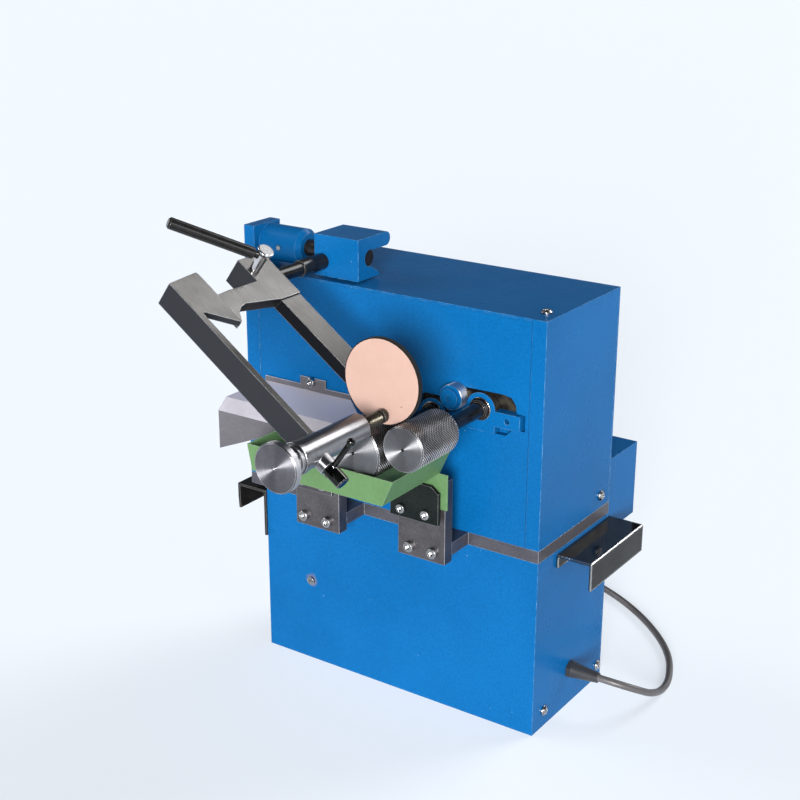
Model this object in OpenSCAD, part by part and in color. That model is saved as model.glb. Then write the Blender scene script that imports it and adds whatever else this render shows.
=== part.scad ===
/* [Cabinet] */
// Width of the lower box
cab_w = 310; // [280:5:360]
// Depth of both boxes, front to back
cab_d = 137; // [130:1:170]
// Height of the lower box
low_h = 176; // [150:2:220]
// Thickness of the deck plate between the boxes
deck_t = 12; // [8:1:16]
// Height of the upper box above the deck
up_h = 212; // [205:1:260]
// How far the upper box stands out on the left
up_left = 19; // [0:1:30]
// Sheet thickness of the boxes
wall = 2; // [1.5:0.5:3]
// Thickness of the removable front panel
panel_t = 6; // [4:1:8]
// Width of the cover's folded edge, left of the panel
edge_l = 16; // [10:1:20]
// Width of the cover's folded edge, right of the panel
edge_r = 14; // [10:1:20]
// Open seam between sheets that lie edge to edge
seam = 0.4; // [0.2:0.1:1]

/* [Deck tongues and tray brackets] */
// How far the tongues stand out in front
tongue_out = 28; // [20:1:40]
// Left end of the left tongue
tongue_l = -85; // [-95:1:-70]
// Left end of the right tongue
tongue_r = 32; // [28:1:40]
// Width of each tongue
tongue_w = 50; // [40:1:56]
// Thickness of the tray brackets
bracket_t = 12; // [8:1:14]
// Height of the tray brackets
bracket_h = 80; // [60:1:84]
// Thickness of the hanger plates
hanger_t = 3.5; // [2:0.5:5]
// Height of the hanger plates
hanger_h = 36; // [24:1:40]
// Open slot between bracket and hanger plate
slot_w = 3.5; // [2.5:0.5:5]

/* [Rollers and drive] */
// Radius of the right roller
roll_r1 = 19.8; // [15:0.1:22]
// Radius of the left roller
roll_r2 = 26.5; // [20:0.1:28]
// Right roller axis, across
roll_x1 = 94.2; // [90:0.1:98]
// Right roller axis, height over the deck
roll_up1 = 123.6; // [112:0.1:132]
// Left roller axis, across
roll_x2 = 44.1; // [40:0.1:48]
// Left roller axis, height over the deck
roll_up2 = 109.5; // [102:0.1:117]
// Length of the rollers
roll_len = 56; // [40:1:60]
// How far the roller faces stand in front of the cabinet
roll_reach = 125; // [110:1:130]
// Radius of the roller shafts
shaft_r = 7; // [5:0.5:8]
// Radial running clearance of shafts in their bushings
run_fit = 0.06; // [0.02:0.01:0.1]
// Gear module
gear_m = 1; // [1:0.1:1.2]
// Teeth of the right roller's gear
teeth_1 = 30; // [28:1:32]
// Teeth of the left roller's gear
teeth_2 = 40; // [36:1:42]
// Teeth of the idler gear
teeth_i = 24; // [22:1:26]
// Face width of the gears
gear_w = 10; // [6:1:12]
// Free play between tooth flanks
backlash = 0.16; // [0.08:0.02:0.3]
// Radius of the belt at its centre line
belt_run_r = 15; // [12:0.5:18]
// Radius of the round belt's section
belt_r = 2.5; // [2:0.25:3]
// Square size of the gearbox
gbox_w = 60; // [50:1:64]
// Motor radius
motor_r = 28; // [22:1:30]

/* [Head and fork] */
// Cross shaft distance behind the front
cross_y = 25; // [20:1:30]
// Cross shaft height over the cabinet top
cross_up = 21; // [20:1:26]
// Radius of the cross shaft
cross_r = 8; // [6:0.5:9]
// Left side of the head block
head_l = -94.5; // [-100:0.5:-90]
// Width of the head block
head_w = 50; // [40:1:60]
// Air under the head block
head_gap = 2; // [1:0.5:4]
// Pivot rod axis, across
rod_x = -85.7; // [-88:0.1:-84]
// Pivot rod height over the cabinet top
rod_up = 15.9; // [15:0.1:20]
// Radius of the pivot rod
rod_r = 6.5; // [5:0.5:6.5]
// Slope of the fork below level
fork_tilt = 35.5; // [20:0.5:45]
// Top of the fork over the rod's axis
fork_top = 21; // [18:0.5:24]
// Thickness of the fork's flat bars
bar_t = 6; // [4:0.5:8]
// Reach of the front arm's face before the cabinet
arm_reach = 199; // [190:1:205]
// Length of the lever
lever_len = 86; // [70:1:100]
// Lever radius
lever_r = 5.2; // [4:0.1:6]

/* [Guide disc and screw spindle] */
// Radius of the guide disc
disc_r = 37.4; // [30:0.1:38.5]
// Thickness of the guide disc
disc_t = 5; // [3:0.5:6]
// Disc axis, across
disc_x = 62.8; // [60:0.1:67]
// Disc axis, height over the deck
disc_up = 172; // [171:0.1:182]
// Disc face distance in front of the cabinet
disc_reach = 110; // [106:1:114]
// Spindle axis, across
spin_x = 66; // [64:0.1:68]
// Spindle axis, height over the deck
spin_up = 144; // [140:0.1:148]
// Knob radius
knob_r = 20.5; // [16:0.5:22]
// Knob face distance in front of the cabinet
knob_reach = 253; // [248:1:258]
// Barrel radius
barrel_r = 12; // [11:0.5:13]
// Thread outer radius
thread_r = 5.6; // [5:0.1:6]
// Thread pitch
thread_p = 2; // [1.5:0.25:2.5]

/* [Ink tray and feed table] */
// Floor of the ink tray, height over the deck
tray_up = 70.5; // [68:0.5:74]
// Height of the tray walls
tray_h = 24; // [16:1:24]
// Sheet thickness of tray and table
sheet = 1.5; // [1:0.25:2]
// Front of the tray floor before the cabinet
tray_reach = 128.5; // [120:0.5:132]
// Height of the feed table over the deck
table_up = 102; // [100:0.5:104]
// Left end of the feed table
table_l = -150; // [-155:1:-130]

/* [Handles and cord] */
// How far the handles stand out
handle_out = 36; // [30:1:50]
// Drop of the handle's outer lip
handle_drop = 27; // [15:1:30]
// Handle sheet thickness
handle_t = 2.5; // [2:0.25:3]
// Cord radius
cord_r = 3.5; // [3:0.25:4]
// Mean radius of the coil
coil_r = 42; // [38:1:50]
// Turns of the coil
coil_turns = 4; // [3:1:6]

/* [Hidden] */
$fn = 64;
eps = 0.01;
deck_z = low_h;
up_z = low_h + deck_t;
top_z = up_z + up_h;
roll_z1 = up_z + roll_up1;
roll_z2 = up_z + roll_up2;
disc_z = up_z + disc_up;
spin_z = up_z + spin_up;
tray_z = up_z + tray_up;
table_z = up_z + table_up;
left_x = -cab_w / 2;
right_x = cab_w / 2;
up_l = left_x - up_left;
panel_l = up_l + edge_l;
panel_r = right_x - edge_r;

screw_r = 2.5;
head_r = 5;
head_h = 3;

bracket_y = -tongue_out - bracket_t;
hanger_y = bracket_y - slot_w - hanger_t;
bracket_z = low_h - 5.4;
hanger_z = bracket_z + 40;
bracket_screw_z = bracket_z + 9.6;
hanger_screw_z = hanger_z + 9;

block_out = 4;
block_t = 22;
bush_wall = 2;
flange_t = 8;
lug_z = roll_z1 - 6.9;
gear_y = 26;
pulley_y = 42;
pulley_w = 12;
plate_y = 62;
plate_t = 8;
shaft_end = plate_y + plate_t + 4;

// The idler sits where both pitch circles touch its own.
pitch_1 = gear_m * teeth_1 / 2;
pitch_2 = gear_m * teeth_2 / 2;
pitch_i = gear_m * teeth_i / 2;
mesh_1 = pitch_1 + pitch_i;
mesh_2 = pitch_2 + pitch_i;
axis_gap = norm([roll_x1 - roll_x2, roll_z1 - roll_z2]);
axis_dir = atan2(roll_z1 - roll_z2, roll_x1 - roll_x2);
idler_in = acos((mesh_2 * mesh_2 + axis_gap * axis_gap - mesh_1 * mesh_1) / (2 * mesh_2 * axis_gap));
idler_x = roll_x2 + mesh_2 * cos(axis_dir + idler_in);
idler_z = roll_z2 + mesh_2 * sin(axis_dir + idler_in);
to_gear_1 = atan2(roll_z1 - idler_z, roll_x1 - idler_x);
to_gear_2 = atan2(roll_z2 - idler_z, roll_x2 - idler_x);
turn_1 = to_gear_1 + 180 + 180 / teeth_1 + to_gear_1 * teeth_i / teeth_1;
turn_2 = to_gear_2 + 180 + 180 / teeth_2 + to_gear_2 * teeth_i / teeth_2;
pressure = 20;

motor_x = right_x - 55;
motor_z = up_z + 10;
out_z = motor_z + 10;
gbox_len = 34;
motor_len = 78;
cover_l = motor_x - 55;
cover_back = plate_y + plate_t + gbox_len + motor_len + 11 - cab_d;
cover_top = up_z + 43.5;
cover_low = low_h - 20;
gbox_slot = gbox_w + 8;

belt_dir = atan2(roll_z1 - out_z, roll_x1 - motor_x);
belt_gap = norm([roll_x1 - motor_x, roll_z1 - out_z]);
belt_y = pulley_y + pulley_w / 2;

cross_z = top_z + cross_up;
rod_z = top_z + rod_up;
boss_end = up_l + 59;
head_y = 6.5;
head_nose = 57;

block_s1 = -14.5;
block_s2 = 12.5;
bar_s2 = 36;
clamp_y1 = -112;
clamp_y2 = -79;
screw_s = 0.1;
screw_y = clamp_y1 + 7.5;
screw_head = fork_top + 24;
lever_off = fork_top + 16;
lever_turn = 46;
neck_len = 8;
screw_neck = 3.2;
rod_end = clamp_y1 + 5;
inner_y = -163.5;

function fork_s(x, z) = (x - rod_x) * cos(fork_tilt) - (z - rod_z) * sin(fork_tilt);
function fork_off(x, z) = (x - rod_x) * sin(fork_tilt) + (z - rod_z) * cos(fork_tilt);
spin_s = fork_s(spin_x, spin_z);
spin_off = fork_off(spin_x, spin_z);
disc_s = fork_s(disc_x, disc_z);
disc_off = fork_off(disc_x, disc_z);
lug_y = -disc_reach + disc_t + 2;
lug_t = 6;

knob_t = 7;
neck_r = 10.5;
neck_y = -knob_reach + knob_t;
collar_y = neck_y + 15;
barrel_y1 = collar_y + 0.3;
barrel_y2 = -147;
spindle_y1 = -knob_reach + 5.3;
spindle_y2 = -disc_reach - 1.2;
lock_y = collar_y + 24;
lock_r = 6;
lock_len = 24;
bar_len = 40.5;

seat_gap = 0.3;
tray_y2 = bracket_y - seat_gap;
tray_l1 = -63;
tray_r1 = 76;
tray_l2 = -68;
tray_r2 = 87;

gland_y = 70;
gland_z = 38;
table_screw_x = -92.5;
block_screw_z = up_z + 84;
side_screws = [[20.8, 17], [cab_d - 8.4, 14]];
cover_screw = [cab_d - 19.6, up_z + 13];
back_cut = [cab_d - 37, cab_d + 13];

// Colours of the materials
blue = [0.09, 0.42, 0.76];
steel = [0.72, 0.72, 0.71];
dark = [0.12, 0.12, 0.12];
zinc = [0.6, 0.6, 0.58];
bronze = [0.72, 0.55, 0.3];

// Moves children into the frame whose y = 0 is the cabinet's front.
module from_front() {
    translate([0, -cab_d / 2, 0])
        children();
}

// Frame of the fork: x runs down the slope, z stands square on it.
module in_fork() {
    from_front()
        translate([rod_x, 0, rod_z])
            rotate([0, fork_tilt, 0])
                children();
}

// Cylinder along +y from y1 to y2.
module bar_y(x, z, r, y1, y2) {
    translate([x, y2, z])
        rotate([90, 0, 0])
            cylinder(r = r, h = y2 - y1);
}

// Cylinder along +x from x1 to x2.
module bar_x(x1, x2, y, z, r) {
    translate([x1, y, z])
        rotate([0, 90, 0])
            cylinder(r = r, h = x2 - x1);
}

// Extrudes a shape drawn in x and z along y.
module along_y(y1, y2) {
    translate([0, y2, 0])
        rotate([90, 0, 0])
            linear_extrude(height = y2 - y1)
                children();
}

// Extrudes a shape drawn in y and z along x.
module along_x(x1, x2) {
    translate([x1, 0, 0])
        rotate([90, 0, 90])
            linear_extrude(height = x2 - x1)
                children();
}

// Box between two corners.
module box(a, b) {
    translate(a)
        cube(b - a);
}

// Pan head screw, head up, underside at the origin.
module pan_screw(len) {
    difference() {
        union() {
            cylinder(r = head_r, h = head_h * 0.5);
            translate([0, 0, head_h * 0.5])
                cylinder(r1 = head_r, r2 = head_r * 0.62, h = head_h * 0.5);
        }
        for (a = [0, 90])
            rotate([0, 0, a])
                translate([-2.6, -0.55, head_h * 0.45])
                    cube([5.2, 1.1, head_h]);
    }
    translate([0, 0, -len])
        cylinder(r = screw_r, h = len + eps);
}

// Socket head screw, underside of the head at the origin.
module socket_screw(r, h, len) {
    difference() {
        union() {
            cylinder(r = r, h = h - 0.6);
            translate([0, 0, h - 0.6])
                cylinder(r1 = r, r2 = r - 0.6, h = 0.6);
        }
        translate([0, 0, h * 0.4])
            cylinder(r = r * 0.5, h = h, $fn = 6);
    }
    translate([0, 0, -len])
        cylinder(r = screw_r, h = len + eps);
}

// Nut with a plain bore that clears the screw.
module clip_nut(t) {
    difference() {
        cylinder(r = 5, h = t, $fn = 6);
        translate([0, 0, -1])
            cylinder(r = screw_r + 0.1, h = t + 2);
    }
}

// Involute spur gear teeth.
function roll_at(r, base) = r <= base ? 0 : sqrt(r * r / (base * base) - 1) * 180 / PI;
function sweep_at(t) = t - atan(t * PI / 180);
function reach_at(t, base) = base * sqrt(1 + pow(t * PI / 180, 2));
function polar(r, a) = [r * cos(a), r * sin(a)];

function tooth_points(n, i, steps = 4) =
    let (pitch = gear_m * n / 2,
         base = pitch * cos(pressure),
         tip = pitch + gear_m * 0.95,
         root = pitch - gear_m * 1.2,
         lean = sweep_at(roll_at(pitch, base)),
         half = 90 / n - backlash / pitch * 90 / PI,
         start = roll_at(max(root, base), base),
         stop = roll_at(tip, base),
         mid = i * 360 / n)
    concat(
        [polar(root, mid - half - lean)],
        [for (k = [0:steps])
            let (t = start + (stop - start) * k / steps)
            polar(reach_at(t, base), mid - half - lean + sweep_at(t))],
        [for (k = [steps:-1:0])
            let (t = start + (stop - start) * k / steps)
            polar(reach_at(t, base), mid + half + lean - sweep_at(t))],
        [polar(root, mid + half + lean)]);

module gear_shape(n, turn) {
    rotate(turn)
        polygon([for (i = [0:n - 1]) each tooth_points(n, i)]);
}

module spur_gear(n, x, z, turn, bore, hub) {
    difference() {
        union() {
            along_y(gear_y, gear_y + gear_w)
                translate([x, z])
                    gear_shape(n, turn);
            bar_y(x, z, hub, gear_y + gear_w - eps, gear_y + gear_w + 5);
        }
        bar_y(x, z, bore, gear_y - 1, gear_y + gear_w + 6);
    }
}

module base_plate() {
    color(blue)
        from_front()
            difference() {
                box([left_x + wall, wall, 0], [right_x - wall, cab_d - wall, 26]);
                box([left_x + 2 * wall, -1, wall], [right_x - 2 * wall, cab_d + 1, 30]);
                for (p = side_screws)
                    bar_x(left_x - 1, right_x + 1, p[0], p[1], screw_r + 0.1);
                for (x = [-60, 60])
                    translate([x, 68, -1])
                        cylinder(r = 6, h = 5);
            }
}

module lower_casing() {
    color(blue)
        from_front()
            difference() {
                box([left_x, 0, 0], [right_x, cab_d - wall - seam, low_h]);
                box([left_x + wall, wall, -1], [right_x - wall, cab_d + 1, low_h + 1]);
                for (p = side_screws)
                    bar_x(left_x - 1, right_x + 1, p[0], p[1], screw_r + 0.1);
                bar_x(right_x - 5, right_x + 5, gland_y, gland_z, 6.2);
                bar_y(-100, 87.8, 2.1, -1, 5);
                for (y = [50, 88])
                    bar_x(left_x - 1, left_x + 5, y, low_h - 42, screw_r + 0.1);
                for (y = [56, cab_d - 15])
                    bar_x(right_x - 5, right_x + 5, y, low_h - 11.8, screw_r + 0.1);
            }
}

module lower_back_panel() {
    color(blue)
        from_front()
            difference() {
                union() {
                    box([left_x, cab_d - wall, 0], [right_x, cab_d, low_h]);
                    box([left_x + wall, cab_d - 14, low_h - 86], [left_x + 2 * wall, cab_d - wall + eps, low_h - 46]);
                }
                box([motor_x - gbox_slot / 2, back_cut[0], motor_z - gbox_w / 2 - 4], [motor_x + gbox_slot / 2, back_cut[1], low_h + 1]);
                box([-110.3, back_cut[0], 69.7], [-84.7, back_cut[1], 90.3]);
                for (x = [left_x + 9, right_x - 9])
                    for (z = [14, low_h - 14])
                        bar_y(x, z, screw_r + 0.1, back_cut[0], back_cut[1]);
            }
}

module deck_plate() {
    color(blue)
        from_front()
            difference() {
                union() {
                    box([up_l, 0, deck_z], [right_x, cab_d, up_z]);
                    for (x = [tongue_l, tongue_r])
                        box([x, -tongue_out, deck_z], [x + tongue_w, 1, up_z]);
                }
                box([motor_x - gbox_slot / 2, plate_y + plate_t - 0.4, deck_z - 1],
                    [motor_x + gbox_slot / 2, cab_d + 1, up_z + 1]);
                for (x = [tongue_l + 10, tongue_l + 37, tongue_r + 13, tongue_r + 38])
                    bar_y(x, bracket_screw_z, screw_r + 0.05, -tongue_out - 1, -tongue_out + 14);
                translate([-60, 80, deck_z - 1])
                    cylinder(r = 8, h = deck_t + 2);
            }
}

// Outline of the opening the bearing blocks look through.
module drive_window() {
    translate([0, up_z])
        polygon([[28, 94], [60, 94], [75, 102], [118, 102], [125, 109.2], [137, 109.2], [137, 124.2],
            [128.3, 124.2], [127.5, 132], [123, 137.7], [115, 139.4], [108, 139.4], [59.8, 138.4], [54, 132], [52, 125.4],
            [33, 125.4], [28, 121]]);
}

module front_panel() {
    color(blue)
        from_front()
            difference() {
                box([panel_l + seam, 0, up_z], [panel_r - seam, panel_t, top_z - wall]);
                along_y(-1, panel_t + 1)
                    drive_window();
                bar_y(table_screw_x, table_z + 9.5, screw_r + 0.1, -1, panel_t + 1);
                for (x = [18, 44])
                    bar_y(x, block_screw_z, screw_r + 0.1, -1, panel_t + 1);
            }
}

module upper_cover() {
    color(blue)
        from_front()
            difference() {
                box([up_l, 0, up_z], [right_x, cab_d - wall - seam, top_z]);
                box([up_l + wall, wall, up_z - 1], [right_x - wall, cab_d + 1, top_z - wall]);
                box([panel_l, -1, up_z - 1], [panel_r, wall + 1, top_z - wall + eps]);
                bar_x(up_l - 1, right_x + 1, cover_screw[0], cover_screw[1], screw_r + 0.1);
                translate([141.8, 23, top_z - 5])
                    cylinder(r = screw_r + 0.1, h = 10);
            }
}

module upper_back_panel() {
    color(blue)
        from_front()
            difference() {
                box([up_l, cab_d - wall, up_z], [right_x, cab_d, top_z]);
                box([motor_x - gbox_slot / 2, back_cut[0], up_z - 1], [motor_x + gbox_slot / 2, back_cut[1], motor_z + gbox_w / 2 + 2]);
                for (x = [up_l + 9, right_x - 9])
                    for (z = [up_z + 58, top_z - 14])
                        bar_y(x, z, screw_r + 0.1, back_cut[0], back_cut[1]);
            }
}

module motor_cover() {
    color(blue)
        from_front()
            difference() {
                box([cover_l, cab_d, cover_low], [right_x, cab_d + cover_back, cover_top]);
                box([cover_l + wall, cab_d - 1, cover_low + wall], [right_x - wall, cab_d + cover_back - wall, cover_top - wall]);
                for (i = [0:5])
                    box([motor_x - 30 + i * 11, cab_d + 30, cover_low + 24], [motor_x - 26 + i * 11, cab_d + cover_back + 7, cover_low + 52]);
            }
}

// Angle handle: plate under the deck, lip outside, flange on the box.
module handle_shape(y1, y2, flange, cut) {
    difference() {
        union() {
            box([0, y1, low_h - 4 - handle_t], [handle_out, y2, low_h - 4]);
            box([handle_out - handle_t, y1, low_h - 4 - handle_drop], [handle_out, y2, low_h - 4]);
            box([0, y1, low_h - 4 - flange], [handle_t, y2, low_h - 4]);
        }
        along_x(handle_out - 8, handle_out + 1)
            polygon([[y1 - 1, low_h - 4 - cut], [y1 + cut, low_h - 5 - handle_drop], [y1 - 1, low_h - 5 - handle_drop]]);
    }
}

module carry_handle_left() {
    color(steel)
        from_front()
            translate([left_x, 0, 0])
                mirror([1, 0, 0])
                    difference() {
                        handle_shape(-2, cab_d - 34, 49, 1);
                        for (y = [50, 88])
                            bar_x(-1, 5, y, low_h - 42, screw_r + 0.1);
                    }
}

module carry_handle_right() {
    color(steel)
        from_front()
            translate([right_x, 0, 0])
                difference() {
                    handle_shape(34, cab_d + 2, 13, 27);
                    for (y = [56, cab_d - 15])
                        bar_x(-1, 5, y, low_h - 11.8, screw_r + 0.1);
                }
}

// Small slotted earth screw on the front.
module earth_screw() {
    difference() {
        bar_y(-100, 87.8, 4, -2.4, 0);
        box([-103, -3, 87.3], [-97, -1.4, 88.3]);
    }
    bar_y(-100, 87.8, 2, -eps, 8);
}

// One pan screw through a side wall, with its nut inside.
module side_screw(side, y, z, grip) {
    translate([side > 0 ? right_x : side < -1 ? up_l : left_x, y, z])
        rotate([0, side > 0 ? 90 : -90, 0]) {
            translate([0, 0, 0])
                pan_screw(grip + 5);
            translate([0, 0, -grip - 4])
                clip_nut(4);
        }
}

module back_screw(x, z) {
    translate([x, cab_d, z])
        rotate([-90, 0, 0]) {
            pan_screw(7);
            translate([0, 0, -wall - 4])
                clip_nut(4);
        }
}

module pan_screws() {
    color(zinc)
        from_front() {
            for (side = [-1, 1])
                for (p = side_screws)
                    side_screw(side, p[0], p[1], 2 * wall);
            for (side = [-2, 1])
                side_screw(side, cover_screw[0], cover_screw[1], wall);
            translate([141.8, 23, top_z]) {
                pan_screw(7);
                translate([0, 0, -wall - 4])
                    clip_nut(4);
            }
            for (z = [14, low_h - 14]) {
                back_screw(left_x + 9, z);
                if (z < 60)
                    back_screw(right_x - 9, z);
            }
            for (z = [up_z + 58, top_z - 14]) {
                back_screw(up_l + 9, z);
                back_screw(right_x - 9, z);
            }
            for (y = [50, 88])
                translate([-handle_t, 0, 0])
                    side_screw(-1, y, low_h - 42, wall + handle_t);
            for (y = [56, cab_d - 15])
                translate([handle_t, 0, 0])
                    side_screw(1, y, low_h - 11.8, wall + handle_t);
            earth_screw();
        }
}

module front_screw(x, y, z, r, len) {
    translate([x, y, z])
        rotate([90, 0, 0])
            socket_screw(r, 4.5, len);
}

// Plain spacer ring that keeps the tray's slot open.
module slot_spacer(x) {
    difference() {
        bar_y(x, hanger_screw_z, 5, bracket_y - slot_w, bracket_y);
        bar_y(x, hanger_screw_z, screw_r + 0.1, bracket_y - slot_w - 1, bracket_y + 1);
    }
}

module socket_screws() {
    color(steel)
        from_front() {
            for (x = [tongue_l + 10, tongue_l + 37, tongue_r + 13, tongue_r + 38])
                front_screw(x, bracket_y, bracket_screw_z, 5, bracket_t + 12);
            for (x = [tongue_l + 14, tongue_l + 38, tongue_r + 9, tongue_r + 35]) {
                front_screw(x, hanger_y, hanger_screw_z, 4.5, hanger_t + slot_w + 10);
                slot_spacer(x);
            }
            front_screw(table_screw_x, -sheet - 1.5, table_z + 9.5, 4.5, panel_t + sheet + 4);
            translate([up_l + 36, cross_y - 17.7, cross_z])
                rotate([90, 0, 0])
                    cylinder(r = 2.2, h = 0.6);
            bar_y(up_l + 36, cross_z, 2.2, cross_y - 17, cross_y - cross_r - 0.3);
        }
}

module tray_bracket(x, cut) {
    color(steel)
        from_front()
            difference() {
                box([x, bracket_y, bracket_z], [x + tongue_w, -tongue_out, bracket_z + bracket_h]);
                for (dx = cut)
                    bar_y(x + dx[0], bracket_screw_z, screw_r + 0.1, bracket_y - 1, 0);
                for (dx = cut)
                    bar_y(x + dx[1], hanger_screw_z, screw_r + 0.1, bracket_y - 1, -tongue_out - 2);
            }
}

module tray_bracket_left() {
    tray_bracket(tongue_l, [[10, 14], [37, 38]]);
}

module tray_bracket_right() {
    tray_bracket(tongue_r, [[13, 9], [38, 35]]);
}

module hanger_plate_left() {
    color(steel)
        from_front()
            difference() {
                along_y(hanger_y, hanger_y + hanger_t)
                    polygon([[tongue_l + 4, hanger_z], [tongue_l + 47, hanger_z],
                        [tongue_l + 47, hanger_z + hanger_h], [tongue_l + 13, hanger_z + hanger_h]]);
                for (dx = [14, 38])
                    bar_y(tongue_l + dx, hanger_screw_z, screw_r + 0.1, hanger_y - 1, bracket_y);
            }
}

module hanger_plate_right() {
    color(dark)
        from_front()
            difference() {
                along_y(hanger_y, hanger_y + hanger_t)
                    polygon([[tongue_r - 4, hanger_z], [tongue_r + 47, hanger_z], [tongue_r + 47, hanger_z + hanger_h - 6],
                        [tongue_r + 39, hanger_z + hanger_h], [tongue_r - 4, hanger_z + hanger_h]]);
                for (dx = [9, 35])
                    bar_y(tongue_r + dx, hanger_screw_z, screw_r + 0.1, hanger_y - 1, bracket_y);
            }
}

// Trough with leaning ends: two crossed extrusions.
module tray_mass(inset, floor, top) {
    slope_l = (tray_l1 - tray_l2) / tray_h;
    slope_r = (tray_r2 - tray_r1) / tray_h;
    intersection() {
        along_y(-200, tray_y2 - inset)
            polygon([[tray_l1 + inset - slope_l * (floor - tray_z), floor], [tray_r1 - inset + slope_r * (floor - tray_z), floor],
                [tray_r1 - inset + slope_r * (top - tray_z), top], [tray_l1 + inset - slope_l * (top - tray_z), top]]);
        along_x(-200, 200)
            polygon([[-tray_reach + inset, floor], [0, floor], [0, top], [-tray_reach + inset, top]]);
    }
}

module ink_tray() {
    color([0.42, 0.63, 0.4])
        from_front() {
            difference() {
                tray_mass(0, tray_z, tray_z + tray_h);
                tray_mass(sheet, tray_z + sheet, tray_z + tray_h + 5);
                box([tray_l2 - 7, -79, tray_z + 9], [-8, tray_y2 + 1, tray_z + tray_h + 20]);
            }
            for (x = [[tongue_l + 26, tongue_l + 45], [tongue_r - 1, tongue_r + 53]])
                box([x[0], tray_y2 - sheet, hanger_screw_z + 5 + seat_gap], [x[1], tray_y2, tray_z + eps]);
        }
}

module feed_table() {
    color([0.5, 0.49, 0.55])
        from_front() {
            difference() {
                union() {
                    intersection() {
                        along_x(table_l, 0)
                            polygon([[-3, table_z - sheet], [-3, table_z], [-61, table_z], [-72.5, table_z - 10],
                                [-72.5, table_z - 12], [-71.4, table_z - 12], [-60.4, table_z - sheet]]);
                        translate([0, 0, table_z - 50])
                            linear_extrude(height = 100)
                                polygon([[table_l, 0], [-50, 0], [-11, -38], [-22, -80], [table_l, -80]]);
                    }
                    along_y(-72.5, -72.5 + sheet)
                        polygon([[table_l, table_z - 10.5], [table_l, table_z - 48], [-66, table_z - 13], [-24, table_z - 12],
                        [-24, table_z - 10.5]]);
                    box([table_l, -3, table_z - sheet], [-48, -3 + sheet, table_z + 5]);
                    box([-107, -3, table_z], [-77, -3 + sheet, table_z + 13]);
                }
                bar_y(table_screw_x, table_z + 9.5, screw_r + 0.1, -5, 1);
            }
        }
}

module bearing_block_left() {
    color(blue)
        from_front()
            difference() {
                union() {
                    bar_y(roll_x2, roll_z2, 13.6, -block_out, block_t - block_out);
                    box([30.5, -block_out, roll_z2 - 14.5], [57, block_t - block_out, roll_z2]);
                    box([8, panel_t, roll_z2 - 35.5], [60, panel_t + flange_t, roll_z2 + 24.5]);
                }
                bar_y(roll_x2, roll_z2, shaft_r + bush_wall, -10, 30);
                for (x = [18, 44])
                    bar_y(x, block_screw_z, screw_r + 0.1, 0, 20);
            }
}

module bearing_block_right() {
    color(blue)
        from_front()
            difference() {
                union() {
                    bar_y(roll_x1, roll_z1, 14.6, -block_out, block_t - block_out);
                    box([roll_x1 - 14.6, -block_out, roll_z1 - 20.6], [roll_x1 + 14.6, block_t - block_out, roll_z1]);
                    box([roll_x1, -block_out, lug_z - 7], [134, panel_t + 1, lug_z + 7]);
                    box([idler_x - 6, -block_out + 2, roll_z1 - 3.6], [roll_x1, panel_t + 1, roll_z1 + 13.4]);
                    box([62, panel_t, roll_z1 - 35.6], [139, panel_t + flange_t, roll_z1 + 33.4]);
                    bar_y(idler_x, idler_z, 11.4, -12, -0.3);
                    bar_y(idler_x, idler_z, 7.6, -1, panel_t + flange_t + 4);
                }
                bar_y(roll_x1, roll_z1, shaft_r + bush_wall, -20, 30);
                bar_y(idler_x, idler_z, 5, -20, 30);
                bar_y(121.1, lug_z, 2.6, -10, 3);
                bar_y(121.1, lug_z, 2, 2, 30);
            }
}

module bushing(x, z, y1, y2) {
    difference() {
        union() {
            bar_y(x, z, shaft_r + bush_wall, y1, y2);
            bar_y(x, z, shaft_r + bush_wall + 1.5, y1 - 1.2, y1 + eps);
        }
        bar_y(x, z, shaft_r + run_fit, y1 - 3, y2 + 1);
    }
}

module bronze_bushings() {
    color(bronze)
        from_front()
            for (p = [[roll_x1, roll_z1], [roll_x2, roll_z2]]) {
                bushing(p[0], p[1], -block_out, block_t - block_out);
                bushing(p[0], p[1], plate_y, plate_y + plate_t);
            }
}

module gear_plate() {
    color(zinc)
        from_front()
            difference() {
                union() {
                    box([0, plate_y, up_z], [139, plate_y + plate_t, roll_z1 + 28.4]);
                    box([0, plate_y - 20, up_z], [54, plate_y + 1, up_z + 5]);
                }
                for (p = [[roll_x1, roll_z1], [roll_x2, roll_z2]])
                    bar_y(p[0], p[1], shaft_r + bush_wall, plate_y - 1, plate_y + plate_t + 1);
                bar_y(motor_x, out_z, 10, plate_y - 1, plate_y + plate_t + 1);
                box([14, plate_y - 1, up_z + 34], [58, plate_y + plate_t + 1, up_z + 74]);
                for (x = [12, 42])
                    translate([x, plate_y - 11, up_z - 1])
                        cylinder(r = 3, h = 8);
            }
}

module idler_stud() {
    color(steel)
        from_front()
            difference() {
                union() {
                    bar_y(idler_x, idler_z, 8.6, -15, -12);
                    bar_y(idler_x, idler_z, 5, -13, gear_y + gear_w + 9);
                    bar_y(idler_x, idler_z, 6.6, gear_y + gear_w + 6, gear_y + gear_w + 7.4);
                }
                bar_y(idler_x, idler_z, 3, -16, -13.4);
            }
}

module idler_gear() {
    color(steel)
        from_front()
            spur_gear(teeth_i, idler_x, idler_z, 0, 5 + run_fit, 8);
}

module gear_left() {
    color(steel)
        from_front()
            spur_gear(teeth_2, roll_x2, roll_z2, turn_2, shaft_r, 12);
}

module gear_right() {
    color(steel)
        from_front()
            spur_gear(teeth_1, roll_x1, roll_z1, turn_1, shaft_r, 11);
}

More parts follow.
